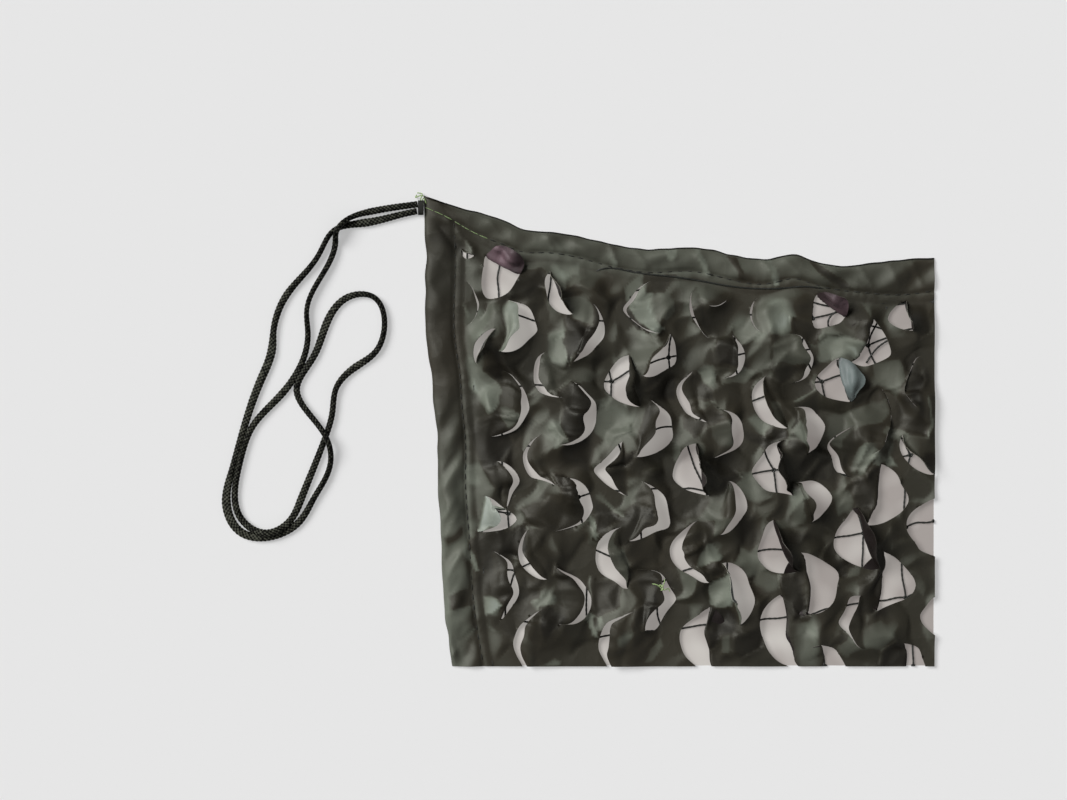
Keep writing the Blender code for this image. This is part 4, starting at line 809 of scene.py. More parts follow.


def colour(code):
    """A hex sRGB colour as linear red, green, blue and alpha."""
    values = [int(code[i:i + 2], 16) / 255 for i in (1, 3, 5)]
    return tuple(v / 12.92 if v <= 0.04045 else ((v + 0.055) / 1.055) ** 2.4
                 for v in values) + (1.0,)


def new_finish(name):
    finish = bpy.data.materials.new(name)
    finish.use_nodes = True
    return finish, finish.node_tree, finish.node_tree.nodes["Principled BSDF"]


def fill_sockets(tree, node, inputs):
    """Give each named socket of a node its value, or the link from another node's socket."""
    for name, value in inputs.items():
        if isinstance(value, bpy.types.NodeSocket):
            tree.links.new(value, node.inputs[name])
        else:
            node.inputs[name].default_value = value


def add(tree, kind, inputs, **settings):
    """Add a node with its settings. Each input is a value, or the socket it is linked from."""
    node = tree.nodes.new(kind)
    for name, value in settings.items():
        setattr(node, name, value)
    fill_sockets(tree, node, inputs)
    return node


def mixed(tree, share, one, two):
    """A colour between two, by share."""
    return add(tree, "ShaderNodeMix", {0: share, 6: one, 7: two}, data_type="RGBA").outputs[2]


def share_of(tree, value, low=0.0, high=1.0):
    """0 at low, 1 at high, and even between."""
    return add(tree, "ShaderNodeMapRange", {"Value": value, "From Min": low,
                                            "From Max": high}).outputs["Result"]


def raised(tree, height, size, under=None):
    """The normal of a relief, over another one where given."""
    inputs = {"Height": height, "Strength": size[0], "Distance": size[1]}
    if under:
        inputs["Normal"] = under
    return add(tree, "ShaderNodeBump", inputs).outputs["Normal"]


def attribute(tree, name):
    return add(tree, "ShaderNodeAttribute", {}, attribute_name=name).outputs["Fac"]


def calculated(tree, operation, one, two):
    return add(tree, "ShaderNodeMath", {0: one, 1: two}, operation=operation).outputs["Value"]


def per_mm(length):
    """The scale of a texture on metre coordinates whose features are this many mm across."""
    return MM_A_METRE / length


def noise(tree, place, size, detail=2.0):
    return add(tree, "ShaderNodeTexNoise", {"Vector": place, "Scale": per_mm(size),
                                            "Detail": detail}).outputs


def coated_cloth(name, main, second, pale, dark, roughness, tint, blush=None):
    """Polyurethane-coated polyester taffeta, calendered: a close plain weave whose coating
    gives a soft satin gloss, with hardly any thread showing. Two tones of colour run into each
    other over some 60 mm, and small sharp creases run about it some 17 mm apart. The piece's
    tone attribute paints light and shade into the colour: towards pale as painted sheen, nearly
    silver for the brightest painted highlights, towards dark as painted shade; a second attribute
    says where the back has a mauve blush."""
    finish, tree, shader = new_finish(name)
    place = add(tree, "ShaderNodeTexCoord", {}).outputs["UV"]
    tone = noise(tree, place, DYE_LENGTH, 1.0)["Fac"]
    base = mixed(tree, share_of(tree, tone, DYE_FROM, DYE_TO), colour(main), colour(second))
    # the tone attribute is painted light: up to 1 towards the pale colour as painted sheen, 1 to 2
    # towards a silver painted highlight, below 0 towards the dark colour as painted shade
    painted_light = attribute(tree, "tone")
    light = mixed(tree, share_of(tree, painted_light), base, colour(pale))
    shown = mixed(tree, share_of(tree, painted_light, 1.0, 2.0), light, colour(SILVER_HIGHLIGHT))
    if blush:
        shown = mixed(tree, attribute(tree, "blush"), shown, colour(blush))
    shown = mixed(tree, share_of(tree, painted_light, 0.0, -1.0), shown, colour(dark))
    warp, weft = (add(tree, "ShaderNodeTexWave",
                      {"Vector": place, "Scale": per_mm(WEAVE_SIZE), "Distortion": WEAVE_UNEVEN},
                      bands_direction=way).outputs["Fac"] for way in "XY")
    weave = calculated(tree, "MULTIPLY", warp, weft)
    craze = noise(tree, place, CRAZE_SIZE)
    wander = add(tree, "ShaderNodeVectorMath", {0: craze["Color"], "Scale": CREASE_WANDER},
                 operation="SCALE")
    moved = add(tree, "ShaderNodeVectorMath", {0: place, 1: wander.outputs["Vector"]},
                operation="ADD")
    crumple = add(tree, "ShaderNodeTexVoronoi", {"Vector": moved.outputs["Vector"],
                                                 "Scale": per_mm(CREASE_SIZE)})
    relief = raised(tree, weave, WEAVE_BUMP)
    relief = raised(tree, crumple.outputs["Distance"], CREASE_BUMP, relief)
    relief = raised(tree, craze["Fac"], CRAZE_BUMP, relief)
    fill_sockets(tree, shader, {"Base Color": shown, "Roughness": roughness,
                                "Specular Tint": colour(tint), "Specular IOR Level": COAT_GLOSS,
                                "Normal": relief})
    return finish


def braided_polyester(name):
    """Hollow-braided polyester cord, nearly black: the strands' crowns are rubbed to a dull
    grey, the gaps between them stay black."""
    finish, tree, shader = new_finish(name)
    place = add(tree, "ShaderNodeTexCoord", {}).outputs["Object"]
    fuzz = noise(tree, place, CORD_FUZZ)["Fac"]
    rubbed = calculated(tree, "MULTIPLY", attribute(tree, "crown"), fuzz)
    base = mixed(tree, share_of(tree, rubbed, CROWN_FROM, CROWN_TO),
                 colour(CORD_GAP), colour(CORD_CROWN))
    fill_sockets(tree, shader, {"Base Color": base, "Roughness": CORD_ROUGH,
                                "Specular IOR Level": CORD_GLOSS,
                                "Normal": raised(tree, fuzz, FIBRE_BUMP)})
    return finish


def twisted_thread(name, dark, pale, roughness, grain):
    """Twisted polyester thread or twine: fine fibres with a dull sheen."""
    finish, tree, shader = new_finish(name)
    place = add(tree, "ShaderNodeTexCoord", {}).outputs["Object"]
    fibre = noise(tree, place, grain)["Fac"]
    fill_sockets(tree, shader, {"Base Color": mixed(tree, fibre, colour(dark), colour(pale)),
                                "Roughness": roughness,
                                "Normal": raised(tree, fibre, FIBRE_BUMP)})
    return finish


def matt_board(name, shade, glow, second=None):
    """Matt cardboard: an even, slightly rough diffuse surface with next to no gloss. A
    glow, light painted into it, keeps it pale where little light gets in. A second shade, a
    darker painted shade, comes and goes in soft patches, and takes over towards +X."""
    finish, tree, shader = new_finish(name)
    place = add(tree, "ShaderNodeTexCoord", {}).outputs["Object"]
    tooth = noise(tree, place, BOARD_TOOTH)["Fac"]
    shown = colour(shade)
    if second:
        drift = noise(tree, place, BOARD_DRIFT, 1.0)["Fac"]
        across = add(tree, "ShaderNodeSeparateXYZ", {"Vector": place}).outputs["X"]
        total = calculated(tree, "ADD", drift, calculated(tree, "MULTIPLY", across, BOARD_RIGHT))
        shown = mixed(tree, share_of(tree, total, BOARD_FROM, BOARD_TO), shown, colour(second))
    fill_sockets(tree, shader, {"Emission Color": shown, "Emission Strength": glow,
                                "Base Color": shown, "Roughness": BOARD_ROUGH,
                                "Specular IOR Level": BOARD_GLOSS,
                                "Normal": raised(tree, tooth, BOARD_BUMP)})
    return finish


# ---- camera, floor and light -----------------------------------------------------------------
VIEW_WIDE = 711.3           # millimetres of the surface across the picture
VIEW_MIDDLE = (-97.0, 20.67)
CAMERA_HEIGHT, SENSOR_WIDE = 1800.0, 36.0
FLOOR_HALF = 4000.0
FLOOR_SHADE, FLOOR_GLOW = "#ABABAB", 0.96
# under the net a darker, pinkish sheet is a painted shadow of the net on the floor, and its glow is
# painted light that keeps the narrow openings pale
SHADOW_SHEET_LEVEL = 0.03
SHADOW_SHEET_SHADES, SHADOW_SHEET_GLOW = ("#8F8C88", "#726D6A"), 1.2
SHADOW_SHEET_PLACES = 40
SHADOW_SHEET_LEFT_IN, SHADOW_SHEET_TOP_IN, SHADOW_SHEET_CUT_IN = 12, 9, 0.4  # inside the folds and the cut edges
SHADOW_SHEET_LEFT_TO, SHADOW_SHEET_LEFT_KEPT = 140, 125   # y up to which the left fold is read, and followed
SHADOW_SHEET_TOP_FROM, SHADOW_SHEET_TOP_KEPT = -155, -148     # and x from which the top fold is
SURROUND = 0.05
LIGHTS = [
    # name      power spread bearing height
    ("key",      3.85,  34,   150,   43),
    ("fill",     0.38,  60,   -35,   50),
]


def build_camera():
    lens = bpy.data.cameras.new("camera")
    lens.sensor_width = SENSOR_WIDE
    lens.lens = SENSOR_WIDE * CAMERA_HEIGHT / VIEW_WIDE
    camera = placed("camera", lens)
    camera.location = (VIEW_MIDDLE[0] * MM, VIEW_MIDDLE[1] * MM, CAMERA_HEIGHT * MM)
    bpy.context.scene.camera = camera


def lay_board(name, outline, level, finish):
    """A flat sheet of board, as stage, from its outline taken anticlockwise."""
    mesh = bpy.data.meshes.new(name)
    mesh.from_pydata([(x * MM, y * MM, level * MM) for x, y in outline], [],
                     [tuple(range(len(outline)))])
    mesh.materials.append(finish)
    placed(name, mesh)


def build_stage():
    """A plain pale floor; under the net a darker, pinkish sheet that is a painted shadow, with a
    glow of painted light that keeps it pale where little light gets in; a bright even surround,
    and two wide soft lights, the stronger one from the upper left."""
    half = FLOOR_HALF
    lay_board("floor", [(-half, -half), (half, -half), (half, half), (-half, half)], 0.0,
              matt_board("matt white board", FLOOR_SHADE, FLOOR_GLOW))
    y = np.linspace(-HALF_HEIGHT, SHADOW_SHEET_LEFT_TO, SHADOW_SHEET_PLACES)
    x = np.linspace(SHADOW_SHEET_TOP_FROM, HALF_WIDTH, SHADOW_SHEET_PLACES)
    ring = [(float(e) + SHADOW_SHEET_LEFT_IN, float(s)) for e, s in zip(left_edge(y), y)
            if s < SHADOW_SHEET_LEFT_KEPT]
    ring += [(float(s), float(e) - SHADOW_SHEET_TOP_IN) for e, s in zip(top_edge(x), x)
             if s > SHADOW_SHEET_TOP_KEPT]
    low = SHADOW_SHEET_CUT_IN - HALF_HEIGHT
    ring += [(HALF_WIDTH - SHADOW_SHEET_CUT_IN, low), (ring[0][0], low)]
    # the sheet of painted shadow under the net, with its glow of painted light
    lay_board("shadow_sheet", ring[::-1], SHADOW_SHEET_LEVEL,
              matt_board("pinkish grey painted shadow under the net", SHADOW_SHEET_SHADES[0], SHADOW_SHEET_GLOW,
                         SHADOW_SHEET_SHADES[1]))
    world = bpy.data.worlds.new("surround")
    world.use_nodes = True
    fill_sockets(world.node_tree, world.node_tree.nodes["Background"],
                 {"Color": (1, 1, 1, 1), "Strength": SURROUND})
    bpy.context.scene.world = world
    for name, power, spread, bearing, height in LIGHTS:
        lamp = bpy.data.lights.new(name, "SUN")
        lamp.energy = power
        lamp.angle = math.radians(spread)
        light = placed(name, lamp)
        light.rotation_euler = (0, math.radians(90 - height), math.radians(bearing))
    bpy.context.scene.view_settings.view_transform = "Standard"


# ---- the cloth's height ----------------------------------------------------------------------
def leaf_frame(leaf):
    """Root middle, the direction the leaf points, and the direction along its root."""
    angle = math.radians(leaf.facing)
    out = np.array([math.cos(angle), math.sin(angle)])
    return np.array([leaf.x, leaf.y], float), out, np.array([-out[1], out[0]])


def is_folded(leaf):
    return leaf.gape > FOLDED_FROM * leaf.depth


def rise_and_fall(share, leaf):
    """A leaf's slope at a share of the way to its tip, as a part of its steepest."""
    if is_folded(leaf):
        return smooth(share / TURN_BY)
    late = smooth((share - FALL_FROM) / (1 - FALL_FROM))
    return smooth(share / RISE_BY) * (1 - leaf.fall * late)


def hem_places(x, y):
    """For each place: how far inside the fold it is, and how far past the seam, of whichever
    hem it is nearer to; and how far along that hem."""
    left, top = x - left_edge(y), top_edge(x) - y
    left_past, top_past = left - along_table(LEFT_SEAM, y), top - along_table(TOP_SEAM, x)
    by_left = left_past < top_past
    return (np.where(by_left, left, top), np.where(by_left, left_past, top_past),
            np.where(by_left, y, x), by_left)


def hem_height(x, y):
    """Top of the sewn hem: it rounds over at the fold, puffs up between fold and seam in
    slanting creases, sinks at the stitches, and steps down where the turned layer ends."""
    inside, past, run, by_left = hem_places(x, y)
    inside = np.maximum(inside, 0)
    across = np.clip(inside / np.maximum(inside - past, 1.0), 0, 1)
    roll = np.sqrt(1 - (1 - np.clip(inside / HEM_ROLL, 0, 1)) ** 2)
    lift = np.sin(math.pi * across) * roll
    low = smooth((CREASED_FROM - y) / CREASED_OVER)
    strength = np.where(by_left, CREASED_HIGH + (CREASED_LOW - CREASED_HIGH) * low, CREASED_TOP)
    crease = strength * sum(share * waves(x, y, length, seed, stretch, math.radians(lean))
                            for length, share, seed, stretch, lean in HEM_CREASES)
    height = FOLD_LEVEL + (HEM_TOP - FOLD_LEVEL) * roll
    height += lift * HEM_PUFF * (HEM_FULL + crease)
    for *ends, width, rise in HEM_FOLDS:
        height += rise * roll * fold_share(x, y, ends, width, HEM_FOLD_FALL)
    length, drift, seed = PUCKER_DRIFT
    pucker = np.cos(2 * math.pi * run / PUCKER_LENGTH + drift * waves(x, y, length, seed))
    height += PUCKER_HEIGHT * pucker * np.exp(-(past / PUCKER_REACH) ** 2)
    height -= SEAM_SINK * np.exp(-(past / SEAM_HALF) ** 2)
    return np.maximum(height - RAW_STEP * smooth(past - HEM_BEYOND), FOLD_LEVEL)


def facet_miss(x, y, corners):
    """Distance of places from a facet's sides, above zero inside it."""
    miss = np.full(np.shape(x), np.inf)
    inside = np.zeros(np.shape(x), bool)
    for (x0, y0), (x1, y1) in zip(corners, corners[1:] + corners[:1]):
        miss = np.minimum(miss, capsule_distance(x, y, x0, y0, x1, y1))
        if y0 != y1:
            inside ^= ((y0 > y) != (y1 > y)) & (x < x0 + (x1 - x0) * (y - y0) / (y1 - y0))
    return np.where(inside, miss, -miss)


def facets_at(x, y):
    """Each facet in turn: its tone, the places it reaches, how far they are in it as a share,
    how far they lie from its middle against the light, and its reach that way."""
    x, y = wandered(x, y, FACET_WANDER)
    toward = math.cos(math.radians(LIT_FROM)), math.sin(math.radians(LIT_FROM))
    for tone, fade, corners in FACETS:
        low, high = np.min(corners, axis=0) - fade, np.max(corners, axis=0) + fade
        near = np.where((x > low[0]) & (x < high[0]) & (y > low[1]) & (y < high[1]))[0]
        share = smooth(facet_miss(x[near], y[near], corners) / fade + 0.5)
        middle = np.mean(corners, axis=0)
        away = -(x[near] - middle[0]) * toward[0] - (y[near] - middle[1]) * toward[1]
        yield tone, near, share, away, np.ptp(np.dot(corners, toward))


def sheet_height(x, y):
    """Height of the sheet between and behind its leaves: the open cloth's level, waves, folds
    and lifted roots, drawn down at the ties and blended into the hem."""
    cut_side = np.minimum(HALF_WIDTH - x, y + HALF_HEIGHT)
    level = CUT_EDGE_LEVEL + (CLOTH_LEVEL - CUT_EDGE_LEVEL) * smooth(cut_side / CUT_EDGE_REACH)
    height = level + sum(rise * waves(x, y, length, seed) for length, rise, seed in OPEN_WAVES)
    height -= sum(rise * np.hypot(waves(x, y, length, seed), CREASE_ROUND)
                  for length, rise, seed in CREASE_WAVES)
    height = level + (height - level) * (CUT_EDGE_SHARE + (1 - CUT_EDGE_SHARE)
                                         * smooth(cut_side / CUT_EDGE_REACH))
    for *ends, width, lift in FOLDS:
        height += lift * fold_share(x, y, ends, width, FOLD_FALL)
    for tone, near, share, away, _ in facets_at(x, y):
        tilt = np.clip(FACET_TILT * np.clip(tone, -1, 1) * away, -FACET_MOST, FACET_MOST)
        height[near] += tilt * share
    for leaf in LEAVES:
        middle, out, along = leaf_frame(leaf)
        behind = -((x - middle[0]) * out[0] + (y - middle[1]) * out[1])
        beside = ((x - middle[0]) * along[0] + (y - middle[1]) * along[1]) / leaf.half
        near = np.exp(-(behind / ROOT_REACH) ** 2 - beside ** 2)
        share = min(leaf.gape / leaf.depth, 1)
        if is_folded(leaf):
            height -= (TUCK_DIP if leaf.fall < 0 else -TUCK_DIP) * near
            continue
        height += ROOT_LIFT * math.sqrt(share) * near
        crest = np.exp(-np.abs(behind) / CREST_REACH) * np.maximum(1 - beside ** 2, 0)
        height += CREST_LIFT * smooth((share - CREST_FROM) / CREST_OVER) * crest
        rim = np.exp(-((behind + leaf.depth + RIM_BEYOND) / RIM_REACH) ** 2 - beside ** 2)
        height -= RIM_DIP * rim
    for tie_x, tie_y in TIES:
        pull = np.exp(-(np.hypot(x - tie_x, y - tie_y) / TIE_REACH) ** 2)
        height = height * (1 - pull) + LOWEST * pull
    height = np.maximum(height, LOWEST)
    _, past, _, _ = hem_places(x, y)
    rise = smooth((past - HEM_BEYOND) / RISE_LENGTH)
    hem = hem_height(x, y)
    return hem + (height - hem) * rise


# ---- the garnish cloth -----------------------------------------------------------------------
def leaf_places(leaf, x, y):
    """Each place in a leaf's own terms: along its root, out from it, and the signed distance
    to its cut, with the direction that distance grows in. The cut is half a superellipse, so
    the distance is near f / |grad f| with f = (|along / half|^p + |out / depth|^p)^(1/p) - 1."""
    middle, out, along = leaf_frame(leaf)
    half, depth = leaf.half, leaf.depth
    a = (x - middle[0]) * along[0] + (y - middle[1]) * along[1]
    b = (x - middle[0]) * out[0] + (y - middle[1]) * out[1]
    share_a, share_b = np.abs(a / half), np.abs(b / depth)
    reach = np.maximum(share_a ** CUT_POWER + share_b ** CUT_POWER, TINY) ** (1 / CUT_POWER)
    slope_a = np.sign(a) * (share_a / reach) ** (CUT_POWER - 1) / half
    slope_b = np.sign(b) * (share_b / reach) ** (CUT_POWER - 1) / depth
    steep = np.maximum(np.hypot(slope_a, slope_b), TINY)
    toward = (slope_a[:, None] * along + slope_b[:, None] * out) / steep[:, None]
    return a, b, (reach - 1) / steep, toward


def sheet_grid():
    """The flat pattern as a grid between the hems' folds and the cut edges: u runs across
    from the left fold, v up from the bottom edge, and the two bent edges are met by turns."""
    u, v = np.meshgrid(np.linspace(0, 1, COLUMNS + 1), np.linspace(0, 1, ROWS + 1))
    x, y = HALF_WIDTH * (2 * u - 1), HALF_HEIGHT * (2 * v - 1)
    for _ in range(SETTLE_TURNS):
        x = left_edge(y) + u * (HALF_WIDTH - left_edge(y))
        y = v * (top_edge(x) + HALF_HEIGHT) - HALF_HEIGHT
    number = np.arange(u.size).reshape(u.shape)
    a, b, c, d = grid_corners(number)
    even = (np.indices(number[1:, 1:].shape).sum(axis=0) % 2 == 0).ravel()
    one = np.where(even[:, None], np.stack([a, b, c], 1), np.stack([a, b, d], 1))
    two = np.where(even[:, None], np.stack([a, c, d], 1), np.stack([b, c, d], 1))
    return x.ravel(), y.ravel(), np.vstack([one, two]), number


def mesh_edges(faces):
    """Each edge of the triangles once, and how many triangles use it."""
    pairs = np.sort(np.concatenate([faces[:, [0, 1]], faces[:, [1, 2]], faces[:, [2, 0]]]), axis=1)
    return np.unique(pairs, axis=0, return_counts=True)


def snap_to_cuts(x, y, faces):
    """Move the nearer end of every edge that crosses a cut on to that cut, so that the cut
    runs along edges. Returns for each place the number of its cut, or -1."""
    first, second = mesh_edges(faces)[0].T
    owner = np.full(len(x), -1)
    for number, leaf in enumerate(LEAVES):
        _, b, miss, _ = leaf_places(leaf, x, y)
        share = miss[first] / np.where(miss[first] == miss[second], 1, miss[first] - miss[second])
        crossing = (miss[first] * miss[second] < 0)
        crossing &= b[first] + share * (b[second] - b[first]) > 0
        near = np.where(share < 0.5, first, second)
        other = np.where(share < 0.5, second, first)
        near = np.where((owner[near] >= 0) & (owner[other] < 0), other, near)
        moved = np.unique(near[crossing & (owner[near] < 0)])
        for _ in range(2):
            _, _, miss, toward = leaf_places(leaf, x, y)
            x[moved] -= miss[moved] * toward[moved, 0]
            y[moved] -= miss[moved] * toward[moved, 1]
        owner[moved] = number
    return owner


def bend_leaf(leaf, a, b):
    """Where the places of a leaf go when it opens. Each line from root to tip keeps its
    length, b, and follows the same slopes, steepest times rise_and_fall, so its run is the
    sum of their cosines and its lift that of their sines; the steepest slope is the one for
    which the tip comes back by the gape."""
    half, depth, opened = leaf.half, leaf.depth, leaf.gape / leaf.depth
    middle, out, along = leaf_frame(leaf)
    start, by_x, by_y = LEAF_SEED
    draw = np.random.default_rng(int(start + by_x * middle[0] + by_y * middle[1]))
    ripple = RIPPLE * np.sin(math.pi * (a / half * draw.uniform(1, 2) + draw.uniform(0, 2)))
    gone = np.clip(opened * (1 + leaf.skew * a / half) + ripple, LEAST_GONE, MOST_GONE)
    pull = PULL_NARROW + (PULL_WIDE - PULL_NARROW) * smooth((opened - PULL_FROM) / PULL_OVER)
    kept = 1 - np.minimum(gone, 1) * (0 if is_folded(leaf) else pull)
    b, depth = b * kept, depth * kept
    steps = (np.arange(LEAF_STEPS) + 0.5) / LEAF_STEPS
    steepest = np.linspace(0, STEEPEST, SLOPES_TRIED)
    left = np.cos(steepest[:, None] * rise_and_fall(steps, leaf)).mean(axis=1)
    until = int(np.argmin(left)) + 1
    turn = np.interp((1 - gone) / kept, left[:until][::-1], steepest[:until][::-1])
    root = middle + a[:, None] * along
    back = root - SLOPE_STEP * out
    height = sheet_height(root[:, 0], root[:, 1])
    slope = np.arctan2(height - sheet_height(back[:, 0], back[:, 1]), SLOPE_STEP)
    reach = depth * np.maximum(1 - np.abs(a / half) ** CUT_POWER, CUT_TIP) ** (1 / CUT_POWER)
    share = np.clip(b / reach, 0, 1)[:, None] * steps
    sense = -1 if is_folded(leaf) and leaf.fall < 0 else 1
    angle = sense * turn[:, None] * rise_and_fall(share, leaf) + slope[:, None] * (1 - share) ** 2
    if is_folded(leaf) and leaf.fall >= 0:
        late = np.clip((share - TURN_BY) / (1 - TURN_BY), 0, 1)
        wave = np.sin(2 * math.pi * late + FLAP_LEAN * (a / half)[:, None])
        angle -= FLAP_WAVE * wave * smooth(late / FLAP_IN)
    part = b / LEAF_STEPS
    run, lift = np.cos(angle).sum(axis=1) * part, np.sin(angle).sum(axis=1) * part
    place = root + run[:, None] * out
    return np.column_stack([place, np.maximum(height + lift, LEAST_CLEAR)])


def turned_layer(sheet, number):
    """The layer turned under each hem: rows of places from the fold inwards, on the surface,
    as far as the raw edge a little past the seam, and mitred where the two hems meet."""
    points, faces, flat = [], [], []
    count = len(sheet)
    length, shift, seed = RAW_WAVES
    sides = [(number[:, 0], (1.0, 0.0)), (number[-1, ::-1], (0.0, -1.0))]
    for edge, (in_x, in_y) in sides:
        ex, ey = sheet[edge, 0], sheet[edge, 1]
        if in_x:
            width = along_table(LEFT_SEAM, ey) + HEM_BEYOND
            room = top_edge(ex) - ey
        else:
            width = along_table(TOP_SEAM, ex) + HEM_BEYOND
            room = ex - left_edge(ey)
        keep = room > MITRE_ROOM
        edge, ex, ey, room, width = edge[keep], ex[keep], ey[keep], room[keep], width[keep]
        width = np.minimum(width + shift * waves(ex, ey, length, seed), room)
        share = (np.arange(TURN_ROWS) / (TURN_ROWS - 1)) ** TURN_CROWD
        tx = ex + in_x * share[:, None] * width
        ty = ey + in_y * share[:, None] * width
        tz = np.full_like(tx, TURN_LEVEL)
        tz[0] = TURN_START
        ids = np.vstack([edge, count + np.arange(tx.size).reshape(tx.shape)])
        count += tx.size
        points.append(np.stack([tx, ty, tz], axis=2).reshape(-1, 3))
        flat.append(np.stack([ex - in_x * share[:, None] * width,
                              ey - in_y * share[:, None] * width], axis=2).reshape(-1, 2))
        a, b, c, d = grid_corners(ids)
        faces += [np.stack([a, b, c], 1), np.stack([a, c, d], 1)]
    return np.vstack(points), np.vstack(faces), np.vstack(flat)


def plan_shift(x, y):
    """How far each place of the pattern is pulled about in its own plane: soft random waves
    inside the hems, and a finer unevenness of the folded edges, none across the cut edges."""
    inside, past, _, _ = hem_places(x, y)
    length, shift, seed = PLAN_WAVES
    open_part = shift * smooth((past - HEM_BEYOND) / RISE_LENGTH)
    fine, fine_shift, fine_seed = EDGE_WAVES
    hem_part = fine_shift * np.exp(-(inside / EDGE_REACH) ** 2)
    right = smooth((HALF_WIDTH - x) / STILL_REACH)
    bottom = smooth((y + HALF_HEIGHT) / STILL_REACH)
    return np.stack([
        right * (open_part * waves(x, y, length, seed) + hem_part * waves(x, y, fine, fine_seed)),
        bottom * (open_part * waves(x, y, length, seed + 1)
                  + hem_part * waves(x, y, fine, fine_seed + 1))], axis=1)


def painted_light_tone(x, y):
    """The sheet's painted light and shade at each place: flat-topped patches of painted
    highlight and painted shade, each exp(-q^4) of its distance q in the patch's own reaches,
    with wandering outlines; and painted sheen, paler where the sheet faces the light and darker
    where it turns away."""
    light = math.radians(LIT_FROM)
    on, off = LIT_STEP * math.cos(light), LIT_STEP * math.sin(light)
    slope = (sheet_height(x - on, y - off) - sheet_height(x + on, y + off)) / (2 * LIT_STEP)
    _, past, _, _ = hem_places(x, y)
    open_share = HEM_LIT + (1 - HEM_LIT) * smooth(past / HEM_LIT_OVER)
    # painted sheen where the sheet faces the light, painted shade where it turns away
    tone = LIT_TONE * np.tanh(LIT_SLOPE * slope) * open_share
    x, y = wandered(x, y, PATCH_WANDER)
    for px, py, reach, across, bearing, amount in PAINTED_LIGHT_PATCHES:
        turn = math.radians(bearing)
        on = (x - px) * math.cos(turn) + (y - py) * math.sin(turn)
        off = (y - py) * math.cos(turn) - (x - px) * math.sin(turn)
        tone += amount * np.exp(-((on / reach) ** 2 + (off / across) ** 2) ** 2)
    return tone


def build_cloth(upper, under, edge):
    """The whole sheet: its grid is snapped to the cuts and opened along them, each leaf is
    bent up, and the hems' turned layers go on at the folds."""
    x, y, faces, number = sheet_grid()
    right, bottom = number[:, -1], number[0]
    owner = snap_to_cuts(x, y, faces)
    x[right], y[bottom] = HALF_WIDTH, -HALF_HEIGHT
    z = sheet_height(x, y)
    flat = np.stack([x, y], axis=1)
    tone = painted_light_tone(x, y)
    points = np.stack([x, y, z], axis=1)
    gone = np.zeros(len(faces), bool)
    for leaf_number, leaf in enumerate(LEAVES):
        a, b, miss, _ = leaf_places(leaf, *flat.T)
        inside = (miss[faces].mean(axis=1) < 0) & (b[faces].max(axis=1) > CUT_END)
        on_cut = np.where((owner == leaf_number) & (b > CUT_END))[0]
        copy = np.full(len(flat), -1)
        copy[on_cut] = len(flat) + np.arange(len(on_cut))
        own = faces[inside]
        inner = np.unique(own[copy[own] < 0])
        inner = inner[b[inner] > 0]
        faces[inside] = np.where(copy[own] >= 0, copy[own], own)
        gone |= inside & (leaf.x > HALF_WIDTH)
        points[inner] = bend_leaf(leaf, a[inner], b[inner])
        points = np.vstack([points, bend_leaf(leaf, a[on_cut], b[on_cut])])
        # a leaf's painted sheen or painted shade sets in from its root, over a share of the sheet's
        # own
        tone[inner] = tone[inner] * LEAF_KEEPS + leaf.tone * smooth(b[inner] / TONE_EDGE)
        tone = np.concatenate([tone, tone[on_cut] * LEAF_KEEPS + leaf.tone])
        flat = np.vstack([flat, flat[on_cut]])
        owner = np.concatenate([owner, np.full(len(on_cut), -1)])
    points[:, :2] += plan_shift(*flat.T)
    # the facets' painted highlight and painted shade, weaker on the side towards the light
    for amount, near, share, away, reach in facets_at(*points[:, :2].T):
        graded = amount * (1 - FACET_GRADE * (0.5 - away / reach))
        tone[near] += share * (graded - FACET_OVER * tone[near])
    layer, layer_faces, layer_flat = turned_layer(points, number)
    tone = np.concatenate([tone, np.zeros(len(layer))])
    points = np.vstack([points, layer])
    faces = np.vstack([faces, layer_faces])
    flat = np.vstack([flat, layer_flat])
    faces = faces[~np.concatenate([gone, np.zeros(len(layer_faces), bool)])]
    beyond = ((points[:, 0] > HALF_WIDTH) | (points[:, 1] < -HALF_HEIGHT))[faces].all(axis=1)
    faces = faces[~beyond]
    points[:, 0] = np.minimum(points[:, 0], HALF_WIDTH)
    points[:, 1] = np.maximum(points[:, 1], -HALF_HEIGHT)
    used, faces = np.unique(faces, return_inverse=True)
    points, flat, faces = points[used], flat[used], faces.reshape(-1, 3)
    piece = make_piece("garnish_cloth", points, faces, [upper, under, edge], flat)
    # tone: painted highlight above zero, nearly silver from 1 to 2, painted shade below zero
    set_values(piece.data, "tone", np.clip(tone[used], -1, 2))
    blush = sum(np.exp(-(np.hypot(flat[:, 0] - bx, flat[:, 1] - by) / reach) ** 2)
                for bx, by, reach in BLUSH)
    set_values(piece.data, "blush", np.minimum(blush, 1))
    mark_free_edges(piece)
    body = piece.modifiers.new("thickness", "SOLIDIFY")
    body.thickness = SHEET_THICK * MM
    body.offset = -1.0
    body.material_offset = 1
    body.material_offset_rim = 2
    return piece


def mark_free_edges(piece):
    """Edges with a face on one side only stay crisp when the sheet gets its thickness."""
    mesh = piece.data
    ends = np.zeros(2 * len(mesh.edges), np.int32)
    mesh.edges.foreach_get("vertices", ends)
    corner = np.zeros(len(mesh.loops), np.int32)
    mesh.loops.foreach_get("edge_index", corner)
    uses = np.bincount(corner, minlength=len(mesh.edges))
    sharp = mesh.attributes.new("sharp_edge", "BOOLEAN", "EDGE")
    sharp.data.foreach_set("value", uses == 1)


